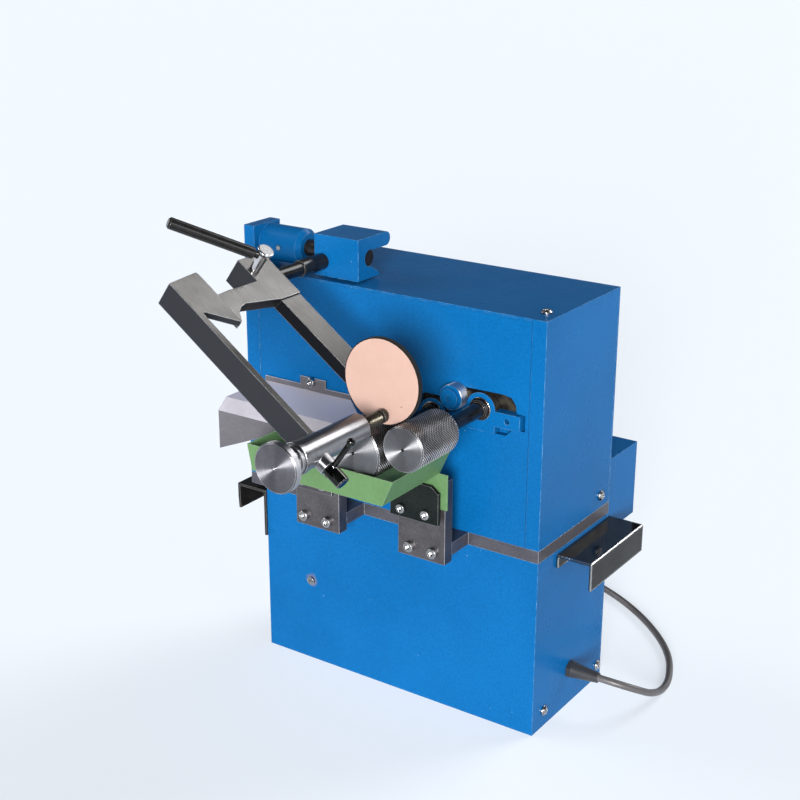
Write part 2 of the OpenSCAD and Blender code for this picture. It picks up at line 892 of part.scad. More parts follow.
// Turned roller: chamfered ends, centre mark and a blind bore for its shaft.
module roller(x, z, r) {
    front = -roll_reach;
    back = front + roll_len;
    translate([x, front, z])
        rotate([-90, 0, 0])
            rotate_extrude()
                polygon([[0, 1.6], [1.6, 0], [r - 1.2, 0], [r, 1.2], [r, 9], [r - 0.5, 9.4], [r - 0.5, 10.2], [r, 10.6],
                    [r, roll_len - 1.2], [r - 1.2, roll_len], [shaft_r + 5, roll_len],
                    [shaft_r + 4, roll_len + 5], [shaft_r, roll_len + 5], [shaft_r, 14], [0, 14]]);
}

module roller_left() {
    color(steel)
        from_front()
            roller(roll_x2, roll_z2, roll_r2);
}

module roller_right() {
    color(steel)
        from_front()
            roller(roll_x1, roll_z1, roll_r1);
}

// Shaft from the roller's bore back to its retaining ring.
module roller_shaft(x, z) {
    start = -roll_reach + 14;
    difference() {
        union() {
            bar_y(x, z, shaft_r, start + 0.3, shaft_end + 3);
            bar_y(x, z, shaft_r + 2.2, shaft_end - 3, shaft_end - 1.6);
            bar_y(x, z, shaft_r + 2, -9, -block_out - 2);
        }
        bar_y(x, z, 1.5, shaft_end + 1, shaft_end + 4);
    }
}

module shaft_left() {
    color(dark)
        from_front()
            roller_shaft(roll_x2, roll_z2);
}

module shaft_right() {
    color(dark)
        from_front()
            roller_shaft(roll_x1, roll_z1);
}

// Grooved pulley for the round belt.
module pulley(x, z, bore) {
    rim = belt_run_r + 2.4;
    low = belt_run_r - belt_r - 0.3;
    mid = pulley_w / 2;
    translate([x, pulley_y, z])
        rotate([-90, 0, 0])
            rotate_extrude()
                polygon([[bore, 0], [rim - 0.6, 0], [rim, 0.6], [rim, mid - belt_r - 1.6], [low, mid - belt_r * 0.6],
                    [low, mid + belt_r * 0.6], [rim, mid + belt_r + 1.6], [rim, pulley_w - 0.6],
                    [rim - 0.6, pulley_w], [bore, pulley_w]]);
}

module shaft_pulley() {
    color(zinc)
        from_front()
            pulley(roll_x1, roll_z1, shaft_r);
}

module motor_pulley() {
    color(zinc)
        from_front()
            pulley(motor_x, out_z, 5);
}

// Half loop of round belt, opening toward the other pulley.
module belt_end(x, z, turn) {
    translate([x, belt_y, z])
        rotate([90, 0, 0])
            rotate([0, 0, turn])
                rotate_extrude(angle = 180)
                    translate([belt_run_r, 0])
                        circle(r = belt_r);
}

module drive_belt() {
    color([0.2, 0.4, 0.25])
        from_front() {
            belt_end(roll_x1, roll_z1, belt_dir - 90);
            belt_end(motor_x, out_z, belt_dir + 90);
            for (side = [-1, 1])
                translate([motor_x, belt_y, out_z])
                    rotate([0, 90 - belt_dir, 0])
                        translate([side * belt_run_r, 0, 0])
                            cylinder(r = belt_r, h = belt_gap);
        }
}

module rounded_square(w, r) {
    square([w, w - 2 * r], center = true);
    square([w - 2 * r, w], center = true);
    for (x = [-1, 1])
        for (y = [-1, 1])
            translate([x * (w / 2 - r), y * (w / 2 - r)])
                circle(r = r);
}

module gearbox() {
    y1 = plate_y + plate_t;
    color([0.6, 0.61, 0.62])
        from_front()
            difference() {
                union() {
                    along_y(y1, y1 + gbox_len)
                        translate([motor_x, motor_z])
                            rounded_square(gbox_w, 6);
                    bar_y(motor_x, out_z, 9.6, y1 - plate_t + 1, y1 + 1);
                }
                bar_y(motor_x, out_z, 5 + run_fit, y1 - 20, y1 + 24);
            }
}

module gearbox_shaft() {
    color(steel)
        from_front()
            difference() {
                bar_y(motor_x, out_z, 5, pulley_y - 4, plate_y + plate_t + 23);
                bar_y(motor_x, out_z, 1.2, pulley_y - 5, pulley_y - 2);
            }
}

module motor_body() {
    y1 = plate_y + plate_t + gbox_len;
    color([0.66, 0.67, 0.68])
        from_front()
            difference() {
                union() {
                    bar_y(motor_x, motor_z, motor_r, y1, y1 + motor_len);
                    bar_y(motor_x, motor_z, motor_r + 1.5, y1, y1 + 8);
                    bar_y(motor_x, motor_z, motor_r + 1.5, y1 + motor_len - 12, y1 + motor_len - 3);
                }
                for (i = [0:11])
                    translate([motor_x, 0, motor_z])
                        rotate([0, i * 30, 0])
                            box([motor_r - 7, y1 + motor_len - 3, -2], [motor_r - 2, y1 + motor_len + 1, 2]);
            }
}

module motor_controller() {
    color([0.16, 0.16, 0.17])
        from_front()
            difference() {
                union() {
                    box([-40, 40, wall], [60, 108, 46]);
                    box([-52, 60, wall], [72, 88, 5]);
                    for (i = [0:5])
                        box([-30 + i * 14, 46, 46 - eps], [-20 + i * 14, 58, 54]);
                }
                for (x = [-46, 66])
                    translate([x, 74, 0])
                        cylinder(r = 2.5, h = 10);
                for (i = [0:5])
                    translate([-25 + i * 14, 52, 48])
                        cylinder(r = 2.5, h = 10);
            }
}

module switch_housing() {
    color([0.1, 0.1, 0.1])
        from_front()
            difference() {
                union() {
                    box([-113, cab_d, 67], [-82, cab_d + 2.5, 93]);
                    box([-110, cab_d - 24, 70], [-85, cab_d + 1, 90]);
                }
                box([-107.4, cab_d - 15, 71.6], [-87.6, cab_d + 3, 88.4]);
            }
}

// Rocker drawn in its off position, tipped about its pin.
module switch_rocker() {
    color([0.7, 0.08, 0.06])
        from_front()
            translate([0, cab_d - 8, 80])
                rotate([-8, 0, 0])
                    difference() {
                        intersection() {
                            box([-106.8, -4, -6.6], [-88.2, 16, 6.6]);
                            bar_x(-106.8, -88.2, 0, 0, 14.4);
                        }
                        bar_x(-110, -85, 27, 0, 14.6);
                    }
}

module head_pedestal() {
    color(blue)
        from_front()
            difference() {
                union() {
                    box([up_l, 1, top_z], [up_l + 12, 40, top_z + 40]);
                    bar_x(up_l + 11, boss_end - 4, cross_y, cross_z, 17.5);
                    translate([boss_end - 4, cross_y, cross_z])
                        rotate([0, 90, 0])
                            cylinder(r1 = 17.5, r2 = 13.5, h = 4);
                }
                bar_x(up_l - 1, boss_end + 1, cross_y, cross_z, cross_r);
                bar_y(up_l + 36, cross_z, 2.3, cross_y - 20, cross_y);
            }
}

module cross_shaft() {
    color(dark)
        from_front()
            bar_x(up_l + 1, head_l + head_w - 2, cross_y, cross_z, cross_r);
}

// C-shaped block that hangs on the cross shaft, open to the back.
module head_block() {
    z0 = top_z + head_gap;
    color(blue)
        from_front()
            difference() {
                union() {
                    along_x(head_l, head_l + head_w)
                        polygon([[head_y, z0], [40, z0], [40, z0 + 2.5], [head_y + 18, z0 + 12], [head_y + 18, top_z + 28],
                            [head_nose - 6.5, top_z + 28], [head_nose - 6.5, top_z + 41], [head_y, top_z + 41]]);
                    bar_x(head_l, head_l + head_w, head_nose - 6.5, top_z + 34.5, 6.5);
                }
                bar_x(head_l - 1, head_l + head_w + 1, cross_y, cross_z, cross_r + run_fit);
                box([head_l - 1, cross_y, cross_z - 4], [head_l + head_w + 1, 80, top_z + 28]);
                bar_y(rod_x, rod_z, rod_r, 0, cross_y - cross_r - 1);
            }
}

module pivot_rod() {
    color(dark)
        from_front() {
            bar_y(rod_x, rod_z, rod_r, rod_end, cross_y - cross_r - 1.2);
            bar_y(rod_x, rod_z, rod_r + 1.3, -28, head_y - 0.3);
        }
}

module fork_front_arm() {
    color(steel)
        in_fork()
            difference() {
                union() {
                    box([-12.5, -arm_reach, fork_top - 23], [spin_s, -arm_reach + bar_t, fork_top]);
                    translate([0, 0, fork_top - bar_t])
                        linear_extrude(height = bar_t)
                            polygon([[-12.5, -arm_reach], [23, -arm_reach], [24, -190], [43.8, inner_y - 1], [43, inner_y], [-12, inner_y],
                                [-15.2, inner_y - 1]]);
                }
                bar_y(spin_s, spin_off, barrel_r, -arm_reach - 1, -arm_reach + bar_t + 1);
            }
}

// Clamp block round the pivot rod with the cross bar that carries both arms.
module fork_bridge() {
    color(steel)
        in_fork()
            difference() {
                union() {
                    along_x(block_s1, block_s2)
                        polygon([[clamp_y1, -4], [clamp_y1 + 8, -9], [clamp_y2, -9], [clamp_y2, fork_top], [clamp_y1, fork_top]]);
                    translate([0, 0, fork_top - 10])
                        linear_extrude(height = 10)
                            polygon([[block_s2 - 1, clamp_y2], [bar_s2, clamp_y2], [bar_s2, -104], [33.2, -118], [31, -132],
                                [28.6, -144.5], [30.5, -152], [34.5, -158], [43, inner_y], [12, inner_y], [11, -149],
                                [block_s2 - 1, -138]]);
                }
                bar_y(0, 0, rod_r + 0.1, rod_end - 0.3, clamp_y2 + 1);
                translate([screw_s, screw_y, 0])
                    cylinder(r = 4.1, h = fork_top + 1);
                box([bar_s2 - 10, clamp_y2 - 25, fork_top - 12], [bar_s2 + 1, clamp_y2 + 1, fork_top - bar_t - 1]);
            }
}

module fork_rear_arm() {
    color(steel)
        in_fork()
            difference() {
                union() {
                    box([bar_s2 - 10, clamp_y2 - 25, fork_top - bar_t - 1 - bar_t], [disc_s + 8, clamp_y2, fork_top - bar_t - 1]);
                    box([bar_s2 + 0.3, clamp_y2 - 25, fork_top - bar_t - 2], [disc_s + 8, clamp_y2, fork_top - 1.5]);
                    along_y(lug_y, lug_y + lug_t) {
                        translate([disc_s - 8, fork_top - 2 * bar_t])
                            square([16, disc_off - fork_top + 2 * bar_t]);
                        translate([disc_s, disc_off])
                            circle(r = 8);
                    }
                }
                bar_y(disc_s, disc_off, 4 + run_fit, lug_y - 1, lug_y + lug_t + 1);
            }
}

// Lever in the frame of the clamp screw: x runs along it.
module along_lever() {
    translate([screw_s, screw_y, lever_off])
        rotate([0, 0, lever_turn])
            rotate([0, -90, 0])
                children();
}

module clamp_screw() {
    color([0.85, 0.85, 0.86])
        in_fork()
            difference() {
                translate([screw_s, screw_y, 0])
                    rotate_extrude()
                        polygon([[0, rod_r + 0.4], [4, rod_r + 0.4], [4, fork_top + 0.3], [4.6, fork_top + 0.3],
                            [5.2, screw_head - 5.5], [7.3, screw_head - 2], [7.3, screw_head - 0.8],
                            [6.6, screw_head], [0, screw_head]]);
                along_lever()
                    translate([0, 0, -2.3])
                        cylinder(r = screw_neck, h = 12);
            }
}

module clamp_lever() {
    color(dark)
        in_fork()
            along_lever()
                rotate_extrude()
                    polygon([[0, -2], [screw_neck - 0.1, -2], [screw_neck - 0.1, neck_len], [lever_r - 1, neck_len],
                        [lever_r, neck_len + 1], [lever_r, lever_len - 1.5], [lever_r - 1.5, lever_len], [0, lever_len]]);
}

module guide_disc() {
    color([0.93, 0.8, 0.72])
        in_fork()
            translate([disc_s, 0, disc_off])
                translate([0, -disc_reach, 0])
                    rotate([-90, 0, 0])
                        rotate_extrude()
                            polygon([[0, 0], [disc_r - 0.5, 0], [disc_r, 0.5], [disc_r, disc_t - 0.5], [disc_r - 0.5, disc_t],
                                [8, disc_t], [8, disc_t + 1.6], [4, disc_t + 1.6], [4, 1.6], [0, 1.6]]);
}

module disc_axle() {
    color(steel)
        in_fork() {
            bar_y(disc_s, disc_off, 4, -disc_reach + 2, lug_y + lug_t + 4);
            bar_y(disc_s, disc_off, 6.5, lug_y + lug_t + 0.4, lug_y + lug_t + 2);
        }
}

// Sleeve that carries the spindle, with the lug of the lock screw.
module barrel() {
    color(steel)
        in_fork()
            difference() {
                union() {
                    bar_y(spin_s, spin_off, barrel_r, barrel_y1, barrel_y2);
                    bar_y(spin_s, spin_off, barrel_r + 1.6, barrel_y1, barrel_y1 + 4);
                    bar_y(spin_s, spin_off, barrel_r + 0.5, barrel_y1 + 3, -arm_reach - 0.3);
                    translate([spin_s, lock_y, spin_off])
                        rotate([0, 90, 0])
                            cylinder(r = lock_r + 1.5, h = barrel_r + 7);
                }
                bar_y(spin_s, spin_off, thread_r + 0.08, barrel_y1 - 1, barrel_y2 + 1);
                translate([spin_s, lock_y, spin_off])
                    rotate([0, 90, 0])
                        cylinder(r = 4.1, h = 60);
            }
}

module knob() {
    color(steel)
        in_fork()
            translate([spin_s, -knob_reach, spin_off])
                rotate([-90, 0, 0])
                    rotate_extrude()
                        polygon([[0, 1.4], [1.4, 0], [knob_r - 1, 0], [knob_r, 1], [knob_r, knob_t - 1], [knob_r - 1, knob_t],
                            [neck_r, knob_t], [neck_r, knob_t + 11], [neck_r + 1.4, knob_t + 12], [neck_r + 1.4, knob_t + 15],
                            [thread_r, knob_t + 15], [thread_r, 5], [0, 5]]);
}

// Turned profile of the screw thread, from its first groove to its last.
thread_low = thread_r - 1.05;
thread_y1 = barrel_y2 - 6;
tip_len = 6;
nose_r = 3;
thread_count = floor((spindle_y2 - tip_len - seat_gap - thread_y1) / thread_p);

module thread_body() {
    rotate_extrude()
        polygon(concat(
            [[0, 0]],
            [for (i = [0:thread_count - 1])
                each [[thread_low, i * thread_p], [thread_r, (i + 0.4) * thread_p],
                    [thread_r, (i + 0.55) * thread_p], [thread_low, (i + 0.95) * thread_p]]],
            [[thread_low, thread_count * thread_p], [0, thread_count * thread_p]]));
}

// Screw spindle; its nose turns inside the tip.
module spindle() {
    color(dark)
        in_fork()
            translate([spin_s, 0, spin_off]) {
                bar_y(0, 0, thread_low, thread_y1 - 1, spindle_y2 - tip_len - seat_gap);
                bar_y(0, 0, thread_r, spindle_y1, thread_y1);
                bar_y(0, 0, nose_r, spindle_y2 - tip_len - 2, spindle_y2 - 1.8);
                translate([0, thread_y1 - eps, 0])
                    rotate([-90, 0, 0])
                        thread_body();
            }
}

module spindle_tip() {
    color([0.35, 0.31, 0.27])
        in_fork()
            translate([spin_s, spindle_y2, spin_off])
                rotate([90, 0, 0])
                    rotate_extrude()
                        polygon([[0, 0], [thread_r - 1, 0], [thread_r + 0.4, 1.6], [thread_r + 0.4, tip_len],
                            [nose_r + run_fit, tip_len], [nose_r + run_fit, 1.5], [0, 1.5]]);
}

// Lock screw with its sliding cross bar.
module lock_screw() {
    out = barrel_r + 7;
    color([0.3, 0.31, 0.33])
        in_fork()
            translate([spin_s, lock_y, spin_off]) {
                rotate([0, 90, 0]) {
                    translate([0, 0, thread_r + 0.6])
                        cylinder(r = 4, h = out - thread_r);
                    translate([0, 0, out + 0.3])
                        cylinder(r = lock_r, h = lock_len - 8);
                    translate([0, 0, out + 0.3 + lock_len - 8 - eps])
                        cylinder(r1 = lock_r, r2 = lock_r - 1, h = 1);
                }
                translate([out + 2.5, 0, -7])
                    cylinder(r = 2.3, h = bar_len);
                translate([out + 2.5, 0, bar_len - 7])
                    sphere(r = 3.4);
            }
}

module cable_gland() {
    color(dark)
        from_front()
            translate([right_x, gland_y, gland_z])
                rotate([0, 90, 0])
                    difference() {
                        union() {
                            translate([0, 0, -wall - 6])
                                cylinder(r = 6, h = wall + 7);
                            cylinder(r = 9, h = 5, $fn = 6);
                            translate([0, 0, -wall - 4.4])
                                cylinder(r = 9, h = 4, $fn = 6);
                            translate([0, 0, 5 - eps])
                                cylinder(r1 = 7.6, r2 = 5, h = 26);
                        }
                        translate([0, 0, -20])
                            cylinder(r = cord_r + 0.2, h = 80);
                    }
}

// Route of the supply cord: out of the gland, down and round to the coil behind.
floor_gap = 0.6;
cord_z = cord_r + floor_gap;
coil_x = -40;
coil_y = cab_d + 141;
coil_step = 2 * cord_r + 0.9;
coil_rings = 24;
coil_end_z = cord_z + coil_step * coil_turns;
plug_x = coil_x - 116;
plug_y = cab_d + 84;
plug_z = 12.6;
cord_in = [[right_x - 24, gland_y, gland_z], [right_x - 6, gland_y, gland_z], [right_x + 12, gland_y, gland_z],
    [right_x + 30, gland_y, gland_z], [right_x + 49, gland_y + 4.4, gland_z - 2.6],
    [right_x + 62.9, gland_y + 16.3, gland_z - 9.7], [right_x + 68, gland_y + 32.7, gland_z - 19.4],
    [right_x + 69.3, gland_y + 49.5, gland_z - 27], [right_x + 68.5, gland_y + 66, cord_z + 2.4],
    [right_x + 65.5, gland_y + 84, cord_z + 0.4], [right_x + 59, gland_y + 103, cord_z],
    [right_x + 48, gland_y + 126, cord_z], [right_x + 31, gland_y + 150, cord_z],
    [right_x + 8, gland_y + 174, cord_z], [right_x - 20, gland_y + 197, cord_z],
    [right_x - 53, gland_y + 218, cord_z], [right_x - 88, gland_y + 234, cord_z],
    [right_x - 124, gland_y + 245, cord_z], [right_x - 160, gland_y + 249.5, cord_z]];
cord_out = [[coil_x - 28, coil_y + coil_r, coil_end_z - 2], [coil_x - 57, coil_y + coil_r, coil_end_z - 6.5],
    [coil_x - 87, coil_y + coil_r - 8, coil_end_z - 12.5], [coil_x - 108, coil_y + coil_r - 30, coil_end_z - 18],
    [plug_x, coil_y + coil_r - 60, plug_z + 1.2], [plug_x, plug_y + 20, plug_z], [plug_x, plug_y + 2, plug_z],
    [plug_x, plug_y - 14, plug_z]];
tube_sides = 8;

function mix(a, b, t) = a * (1 - t) + b * t;
function spline(p, i, t) =
    let (a = p[max(i - 1, 0)], b = p[i], c = p[i + 1], d = p[min(i + 2, len(p) - 1)])
    0.5 * (2 * b + (c - a) * t + (2 * a - 5 * b + 4 * c - d) * t * t + (3 * b - a - 3 * c + d) * t * t * t);
function smooth_route(p, n) = concat([for (i = [0:len(p) - 2]) for (k = [0:n - 1]) spline(p, i, k / n)], [p[len(p) - 1]]);

// Coil centre line: turns stacked flat, rising one cord per turn.
function coil_point(a) = [coil_x - coil_r * sin(a), coil_y + coil_r * cos(a), cord_z + coil_step * a / 360];
function coil_route() = [for (i = [0:coil_turns * coil_rings]) coil_point(i * 360 / coil_rings)];
function route_in() = smooth_route(concat(cord_in, [coil_point(0), coil_point(30)]), 3);
function route_out() = smooth_route(concat([coil_point(360 * coil_turns - 30), coil_point(360 * coil_turns)], cord_out), 3);
function cord_route() = concat(
    [for (i = [0:len(route_in()) - 5]) route_in()[i]],
    coil_route(),
    [for (i = [4:len(route_out()) - 1]) route_out()[i]]);
function route_len(p) = [for (i = 0, s = 0; i < len(p); i = i + 1, s = s + (i < len(p) ? norm(p[i] - p[i - 1]) : 0)) s][len(p) - 1];

// Frames of the tube: side vectors square to the route.
function unit(v) = v / norm(v);
function route_dir(p, i) = unit(p[min(i + 1, len(p) - 1)] - p[max(i - 1, 0)]);
function tube_ring(p, i, r, sides) =
    let (d = route_dir(p, i),
         u = unit(cross([0, 0, 1], d)),
         w = cross(d, u))
    [for (k = [0:sides - 1]) p[i] + r * (u * cos(k * 360 / sides) + w * sin(k * 360 / sides))];

module tube(p, r, sides) {
    n = len(p);
    polyhedron(
        points = [for (i = [0:n - 1]) each tube_ring(p, i, r, sides)],
        faces = concat(
            [[for (k = [0:sides - 1]) k]],
            [for (i = [0:n - 2])
                for (k = [0:sides - 1])
                    [i * sides + k, (i + 1) * sides + k, (i + 1) * sides + (k + 1) % sides, i * sides + (k + 1) % sides]],
            [[for (k = [sides - 1:-1:0]) (n - 1) * sides + k]]),
        convexity = 10);
}

module cord_tube() {
    color(dark)
        from_front()
            tube(cord_route(), cord_r, tube_sides);
}

// Band round all turns at the front of the coil.
module coil_tie() {
    low = cord_z + coil_step / 2 - cord_r - 0.5;
    high = low + (coil_turns - 1) * coil_step + 2 * cord_r + 1;
    mid = coil_y - coil_r;
    color([0.08, 0.08, 0.08])
        from_front()
            difference() {
                box([coil_x - 6, mid - cord_r - 2.3, low - 1.2], [coil_x + 6, mid + cord_r + 2.3, high + 1.2]);
                box([coil_x - 7, mid - cord_r - 1.1, low], [coil_x + 7, mid + cord_r + 1.1, high]);
            }
}

module plug_body() {
    color(dark)
        from_front()
            difference() {
                union() {
                    along_y(plug_y - 42, plug_y - 2)
                        translate([plug_x, plug_z]) {
                            square([32, 12], center = true);
                            square([20, 24], center = true);
                            for (x = [-10, 10])
                                for (z = [-6, 6])
                                    translate([x, z])
                                        circle(r = 6);
                        }
                    translate([plug_x, plug_y - 2 - eps, plug_z])
                        rotate([-90, 0, 0])
                            cylinder(r1 = 8, r2 = 5, h = 24);
                }
                bar_y(plug_x, plug_z, cord_r + 0.2, plug_y - 16, plug_y + 40);
                for (p = plug_pin_places)
                    translate([plug_x + p[0], 0, plug_z + p[1]])
                        rotate([0, p[2], 0])
                            box([-0.8, plug_y - 43, -3.1], [0.8, plug_y - 32, 3.1]);
            }
}

// Flat pins: place across, place up, lean.
plug_pin_places = [[-6.8, 3.4, -30], [6.8, 3.4, 30], [0, -5.6, 0]];

module plug_pins() {
    color([0.85, 0.72, 0.4])
        from_front()
            for (p = plug_pin_places)
                translate([plug_x + p[0], 0, plug_z + p[1]])
                    rotate([0, p[2], 0])
                        box([-0.8, plug_y - 60, -3.1], [0.8, plug_y - 32, 3.1]);
}

echo(cord_length = route_len(cord_route()), idler = [idler_x, idler_z], spindle = [spin_s, spin_off], disc = [disc_s, disc_off]);

base_plate();
lower_casing();
lower_back_panel();
deck_plate();
front_panel();
upper_cover();
upper_back_panel();
motor_cover();
carry_handle_left();
carry_handle_right();
pan_screws();
socket_screws();
tray_bracket_left();
tray_bracket_right();
hanger_plate_left();
hanger_plate_right();
ink_tray();
feed_table();
bearing_block_left();
bearing_block_right();
bronze_bushings();
gear_plate();
idler_stud();
idler_gear();
roller_left();
roller_right();
shaft_left();
shaft_right();
gear_left();
gear_right();
shaft_pulley();
drive_belt();
motor_pulley();
gearbox_shaft();
gearbox();
motor_body();
motor_controller();
switch_housing();
switch_rocker();
head_pedestal();
cross_shaft();
head_block();
pivot_rod();
fork_front_arm();
fork_bridge();
fork_rear_arm();
clamp_screw();
clamp_lever();
guide_disc();
disc_axle();
barrel();
knob();
spindle();
spindle_tip();
lock_screw();
cable_gland();
cord_tube();
coil_tie();
plug_body();
plug_pins();
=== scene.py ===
import bpy, bmesh, math, random
from mathutils import Matrix, Vector


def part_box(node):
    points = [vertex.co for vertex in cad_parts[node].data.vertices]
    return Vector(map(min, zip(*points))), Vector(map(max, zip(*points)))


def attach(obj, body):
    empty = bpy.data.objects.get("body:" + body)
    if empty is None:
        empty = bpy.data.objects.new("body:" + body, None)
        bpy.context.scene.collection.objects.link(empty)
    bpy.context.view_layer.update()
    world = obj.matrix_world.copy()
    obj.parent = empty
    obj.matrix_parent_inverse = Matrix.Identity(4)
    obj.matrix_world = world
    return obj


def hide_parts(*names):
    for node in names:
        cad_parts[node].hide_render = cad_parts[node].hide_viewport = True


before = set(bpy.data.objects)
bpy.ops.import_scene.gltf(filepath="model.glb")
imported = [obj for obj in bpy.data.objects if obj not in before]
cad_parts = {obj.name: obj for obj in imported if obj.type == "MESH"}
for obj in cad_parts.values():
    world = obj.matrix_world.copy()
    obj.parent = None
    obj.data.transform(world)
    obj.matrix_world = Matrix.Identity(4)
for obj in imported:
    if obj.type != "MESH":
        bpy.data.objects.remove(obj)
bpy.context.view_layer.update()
scene = bpy.context.scene
random.seed(7)

# metres; the origin is the centre of the cabinet's underside, and the operator stands towards -y
cabinet = {"width": 0.310, "depth": 0.137}
frontY = -cabinet["depth"] / 2
rightX = cabinet["width"] / 2
spindleAxis = (0.066, 0, 0.332)  # these two axes run along y
rodAxis = (-0.0857, 0, 0.4159)
barTurn = -35.5  # degrees; the fork's bars slope down to the right

# turn, rise and roll in degrees
camera = {"place": (0.7132, -1.0338 + frontY, 0.7467), "turn": 34.37, "rise": 19.61, "roll": 0.15,
          "lens": 65.58, "sensor": 36, "clip": (0.05, 30)}


def placeCamera(s):
    turn, rise, roll = (math.radians(s[k]) for k in ("turn", "rise", "roll"))
    back = Vector((math.sin(turn) * math.cos(rise), -math.cos(turn) * math.cos(rise), math.sin(rise)))
    side = (-back).cross(Vector((0, 0, 1))).normalized()
    up = side.cross(-back)
    tiltedSide = side * math.cos(roll) + up * math.sin(roll)
    tiltedUp = up * math.cos(roll) - side * math.sin(roll)
    lens = bpy.data.cameras.new("photoCamera")
    lens.lens = s["lens"]
    lens.sensor_width = s["sensor"]
    lens.clip_start, lens.clip_end = s["clip"]
    stand = bpy.data.objects.new("photoCamera", lens)
    scene.collection.objects.link(stand)
    stand.matrix_world = Matrix.Translation(s["place"]) @ Matrix((tiltedSide, tiltedUp, back)).transposed().to_4x4()
    scene.camera = stand


placeCamera(camera)
print("camera stands at the photograph's viewpoint")


# what all the meshes share
def addObject(name, mesh, material=None):
    piece = bpy.data.objects.new(name, mesh)
    scene.collection.objects.link(piece)
    if material:
        mesh.materials.append(material)
    return piece


def finishMesh(bm, name):
    bmesh.ops.recalc_face_normals(bm, faces=bm.faces)
    mesh = bpy.data.meshes.new(name)
    bm.to_mesh(mesh)
    bm.free()
    return mesh


def shadeSmooth(mesh, sharpAt=None, flat=()):  # edges that bend more than sharpAt degrees stay sharp
    for face in mesh.polygons:
        face.use_smooth = face.index not in flat
    if sharpAt:
        mesh.set_sharp_from_angle(angle=math.radians(sharpAt))


def joinRings(bm, one, two):  # faces between two rings of points; a ring of one point closes the end
    sides = max(len(one), len(two))
    for k in range(sides):
        n = (k + 1) % sides
        if len(one) == 1:
            bm.faces.new((one[0], two[k], two[n]))
        elif len(two) == 1:
            bm.faces.new((one[k], two[0], one[n]))
        else:
            bm.faces.new((one[k], two[k], two[n], one[n]))


def tubeRing(bm, centre, across, along, radius, sides):  # across and along are two directions in the ring's plane
    turns = [k * math.tau / sides for k in range(sides)]
    return [bm.verts.new(centre + radius * (across * math.cos(a) + along * math.sin(a))) for a in turns]


def joinTube(bm, rings):
    for one, two in zip(rings, rings[1:]):
        joinRings(bm, one, two)
    bm.faces.new(rings[0])
    bm.faces.new(rings[-1][::-1])


def axisRing(bm, radii, y):  # a ring about the y axis, with a radius for each of its points
    turns = [k * math.tau / len(radii) for k in range(len(radii))]
    return [bm.verts.new((r * math.cos(a), y, r * math.sin(a))) for r, a in zip(radii, turns)]


def lathe(bm, profile, sides):  # the profile is a list of radius and y
    rings = [axisRing(bm, [r] * sides if r > 0 else [0], y) for r, y in profile]
    for one, two in zip(rings, rings[1:]):
        joinRings(bm, one, two)
    return rings


# the supply cord takes the same route as the CAD solid: gland, floor, coil and plug
cord = {"radius": 0.0035, "gland": (0.070, 0.038), "floorGap": 0.0006, "coilX": -0.040, "coilBack": 0.141,
        "coilRadius": 0.042, "turns": 4, "ringsPerTurn": 24, "stepGap": 0.0009, "plugX": -0.116, "plugBack": 0.084,
        "plugZ": 0.0126, "sides": 16, "steps": 3, "guide": 30}


def curvePoint(p, i, t):  # a smooth curve through points i and i + 1
    a, b, c, d = p[max(i - 1, 0)], p[i], p[i + 1], p[min(i + 2, len(p) - 1)]
    return 0.5 * (2 * b + (c - a) * t + (2 * a - 5 * b + 4 * c - d) * t * t + (3 * b - a - 3 * c + d) * t ** 3)


def smoothRoute(p, steps):
    p = [Vector(q) for q in p]
    return [curvePoint(p, i, k / steps) for i in range(len(p) - 1) for k in range(steps)] + [p[-1]]


def cordRoute(s):
    gy, gz = s["gland"]
    low = s["radius"] + s["floorGap"]
    step = 2 * s["radius"] + s["stepGap"]
    whole = 360 * s["turns"]
    top = low + step * s["turns"]
    cx, cy, cr = s["coilX"], cabinet["depth"] + s["coilBack"], s["coilRadius"]
    px, py, pz = s["coilX"] + s["plugX"], cabinet["depth"] + s["plugBack"], s["plugZ"]

    def coilPoint(degrees):
        a = math.radians(degrees)
        return (cx - cr * math.sin(a), cy + cr * math.cos(a), low + step * degrees / 360)

    fromGland = [(-0.024, 0, gz), (-0.006, 0, gz), (0.012, 0, gz), (0.030, 0, gz), (0.049, 0.0044, gz - 0.0026),
                 (0.0629, 0.0163, gz - 0.0097), (0.068, 0.0327, gz - 0.0194), (0.0693, 0.0495, gz - 0.027),
                 (0.0685, 0.066, low + 0.0024), (0.0655, 0.084, low + 0.0004), (0.059, 0.103, low),
                 (0.048, 0.126, low), (0.031, 0.150, low), (0.008, 0.174, low), (-0.020, 0.197, low),
                 (-0.053, 0.218, low), (-0.088, 0.234, low), (-0.124, 0.245, low), (-0.160, 0.2495, low)]
    lead = [(rightX + x, gy + y, z) for x, y, z in fromGland]
    tail = [(cx - 0.028, cy + cr, top - 0.002), (cx - 0.057, cy + cr, top - 0.0065),
            (cx - 0.087, cy + cr - 0.008, top - 0.0125), (cx - 0.108, cy + cr - 0.030, top - 0.018),
            (px, cy + cr - 0.060, pz + 0.0012), (px, py + 0.020, pz), (px, py + 0.002, pz), (px, py - 0.014, pz)]
    # the coil's first and last degrees only guide the curves that run into it
    inward = smoothRoute(lead + [coilPoint(0), coilPoint(s["guide"])], s["steps"])[:-s["steps"] - 1]
    outward = smoothRoute([coilPoint(whole - s["guide"]), coilPoint(whole)] + tail, s["steps"])[s["steps"] + 1:]
    turns = [Vector(coilPoint(i * 360 / s["ringsPerTurn"])) for i in range(s["turns"] * s["ringsPerTurn"] + 1)]
    return [p + Vector((0, frontY, 0)) for p in inward + turns + outward]


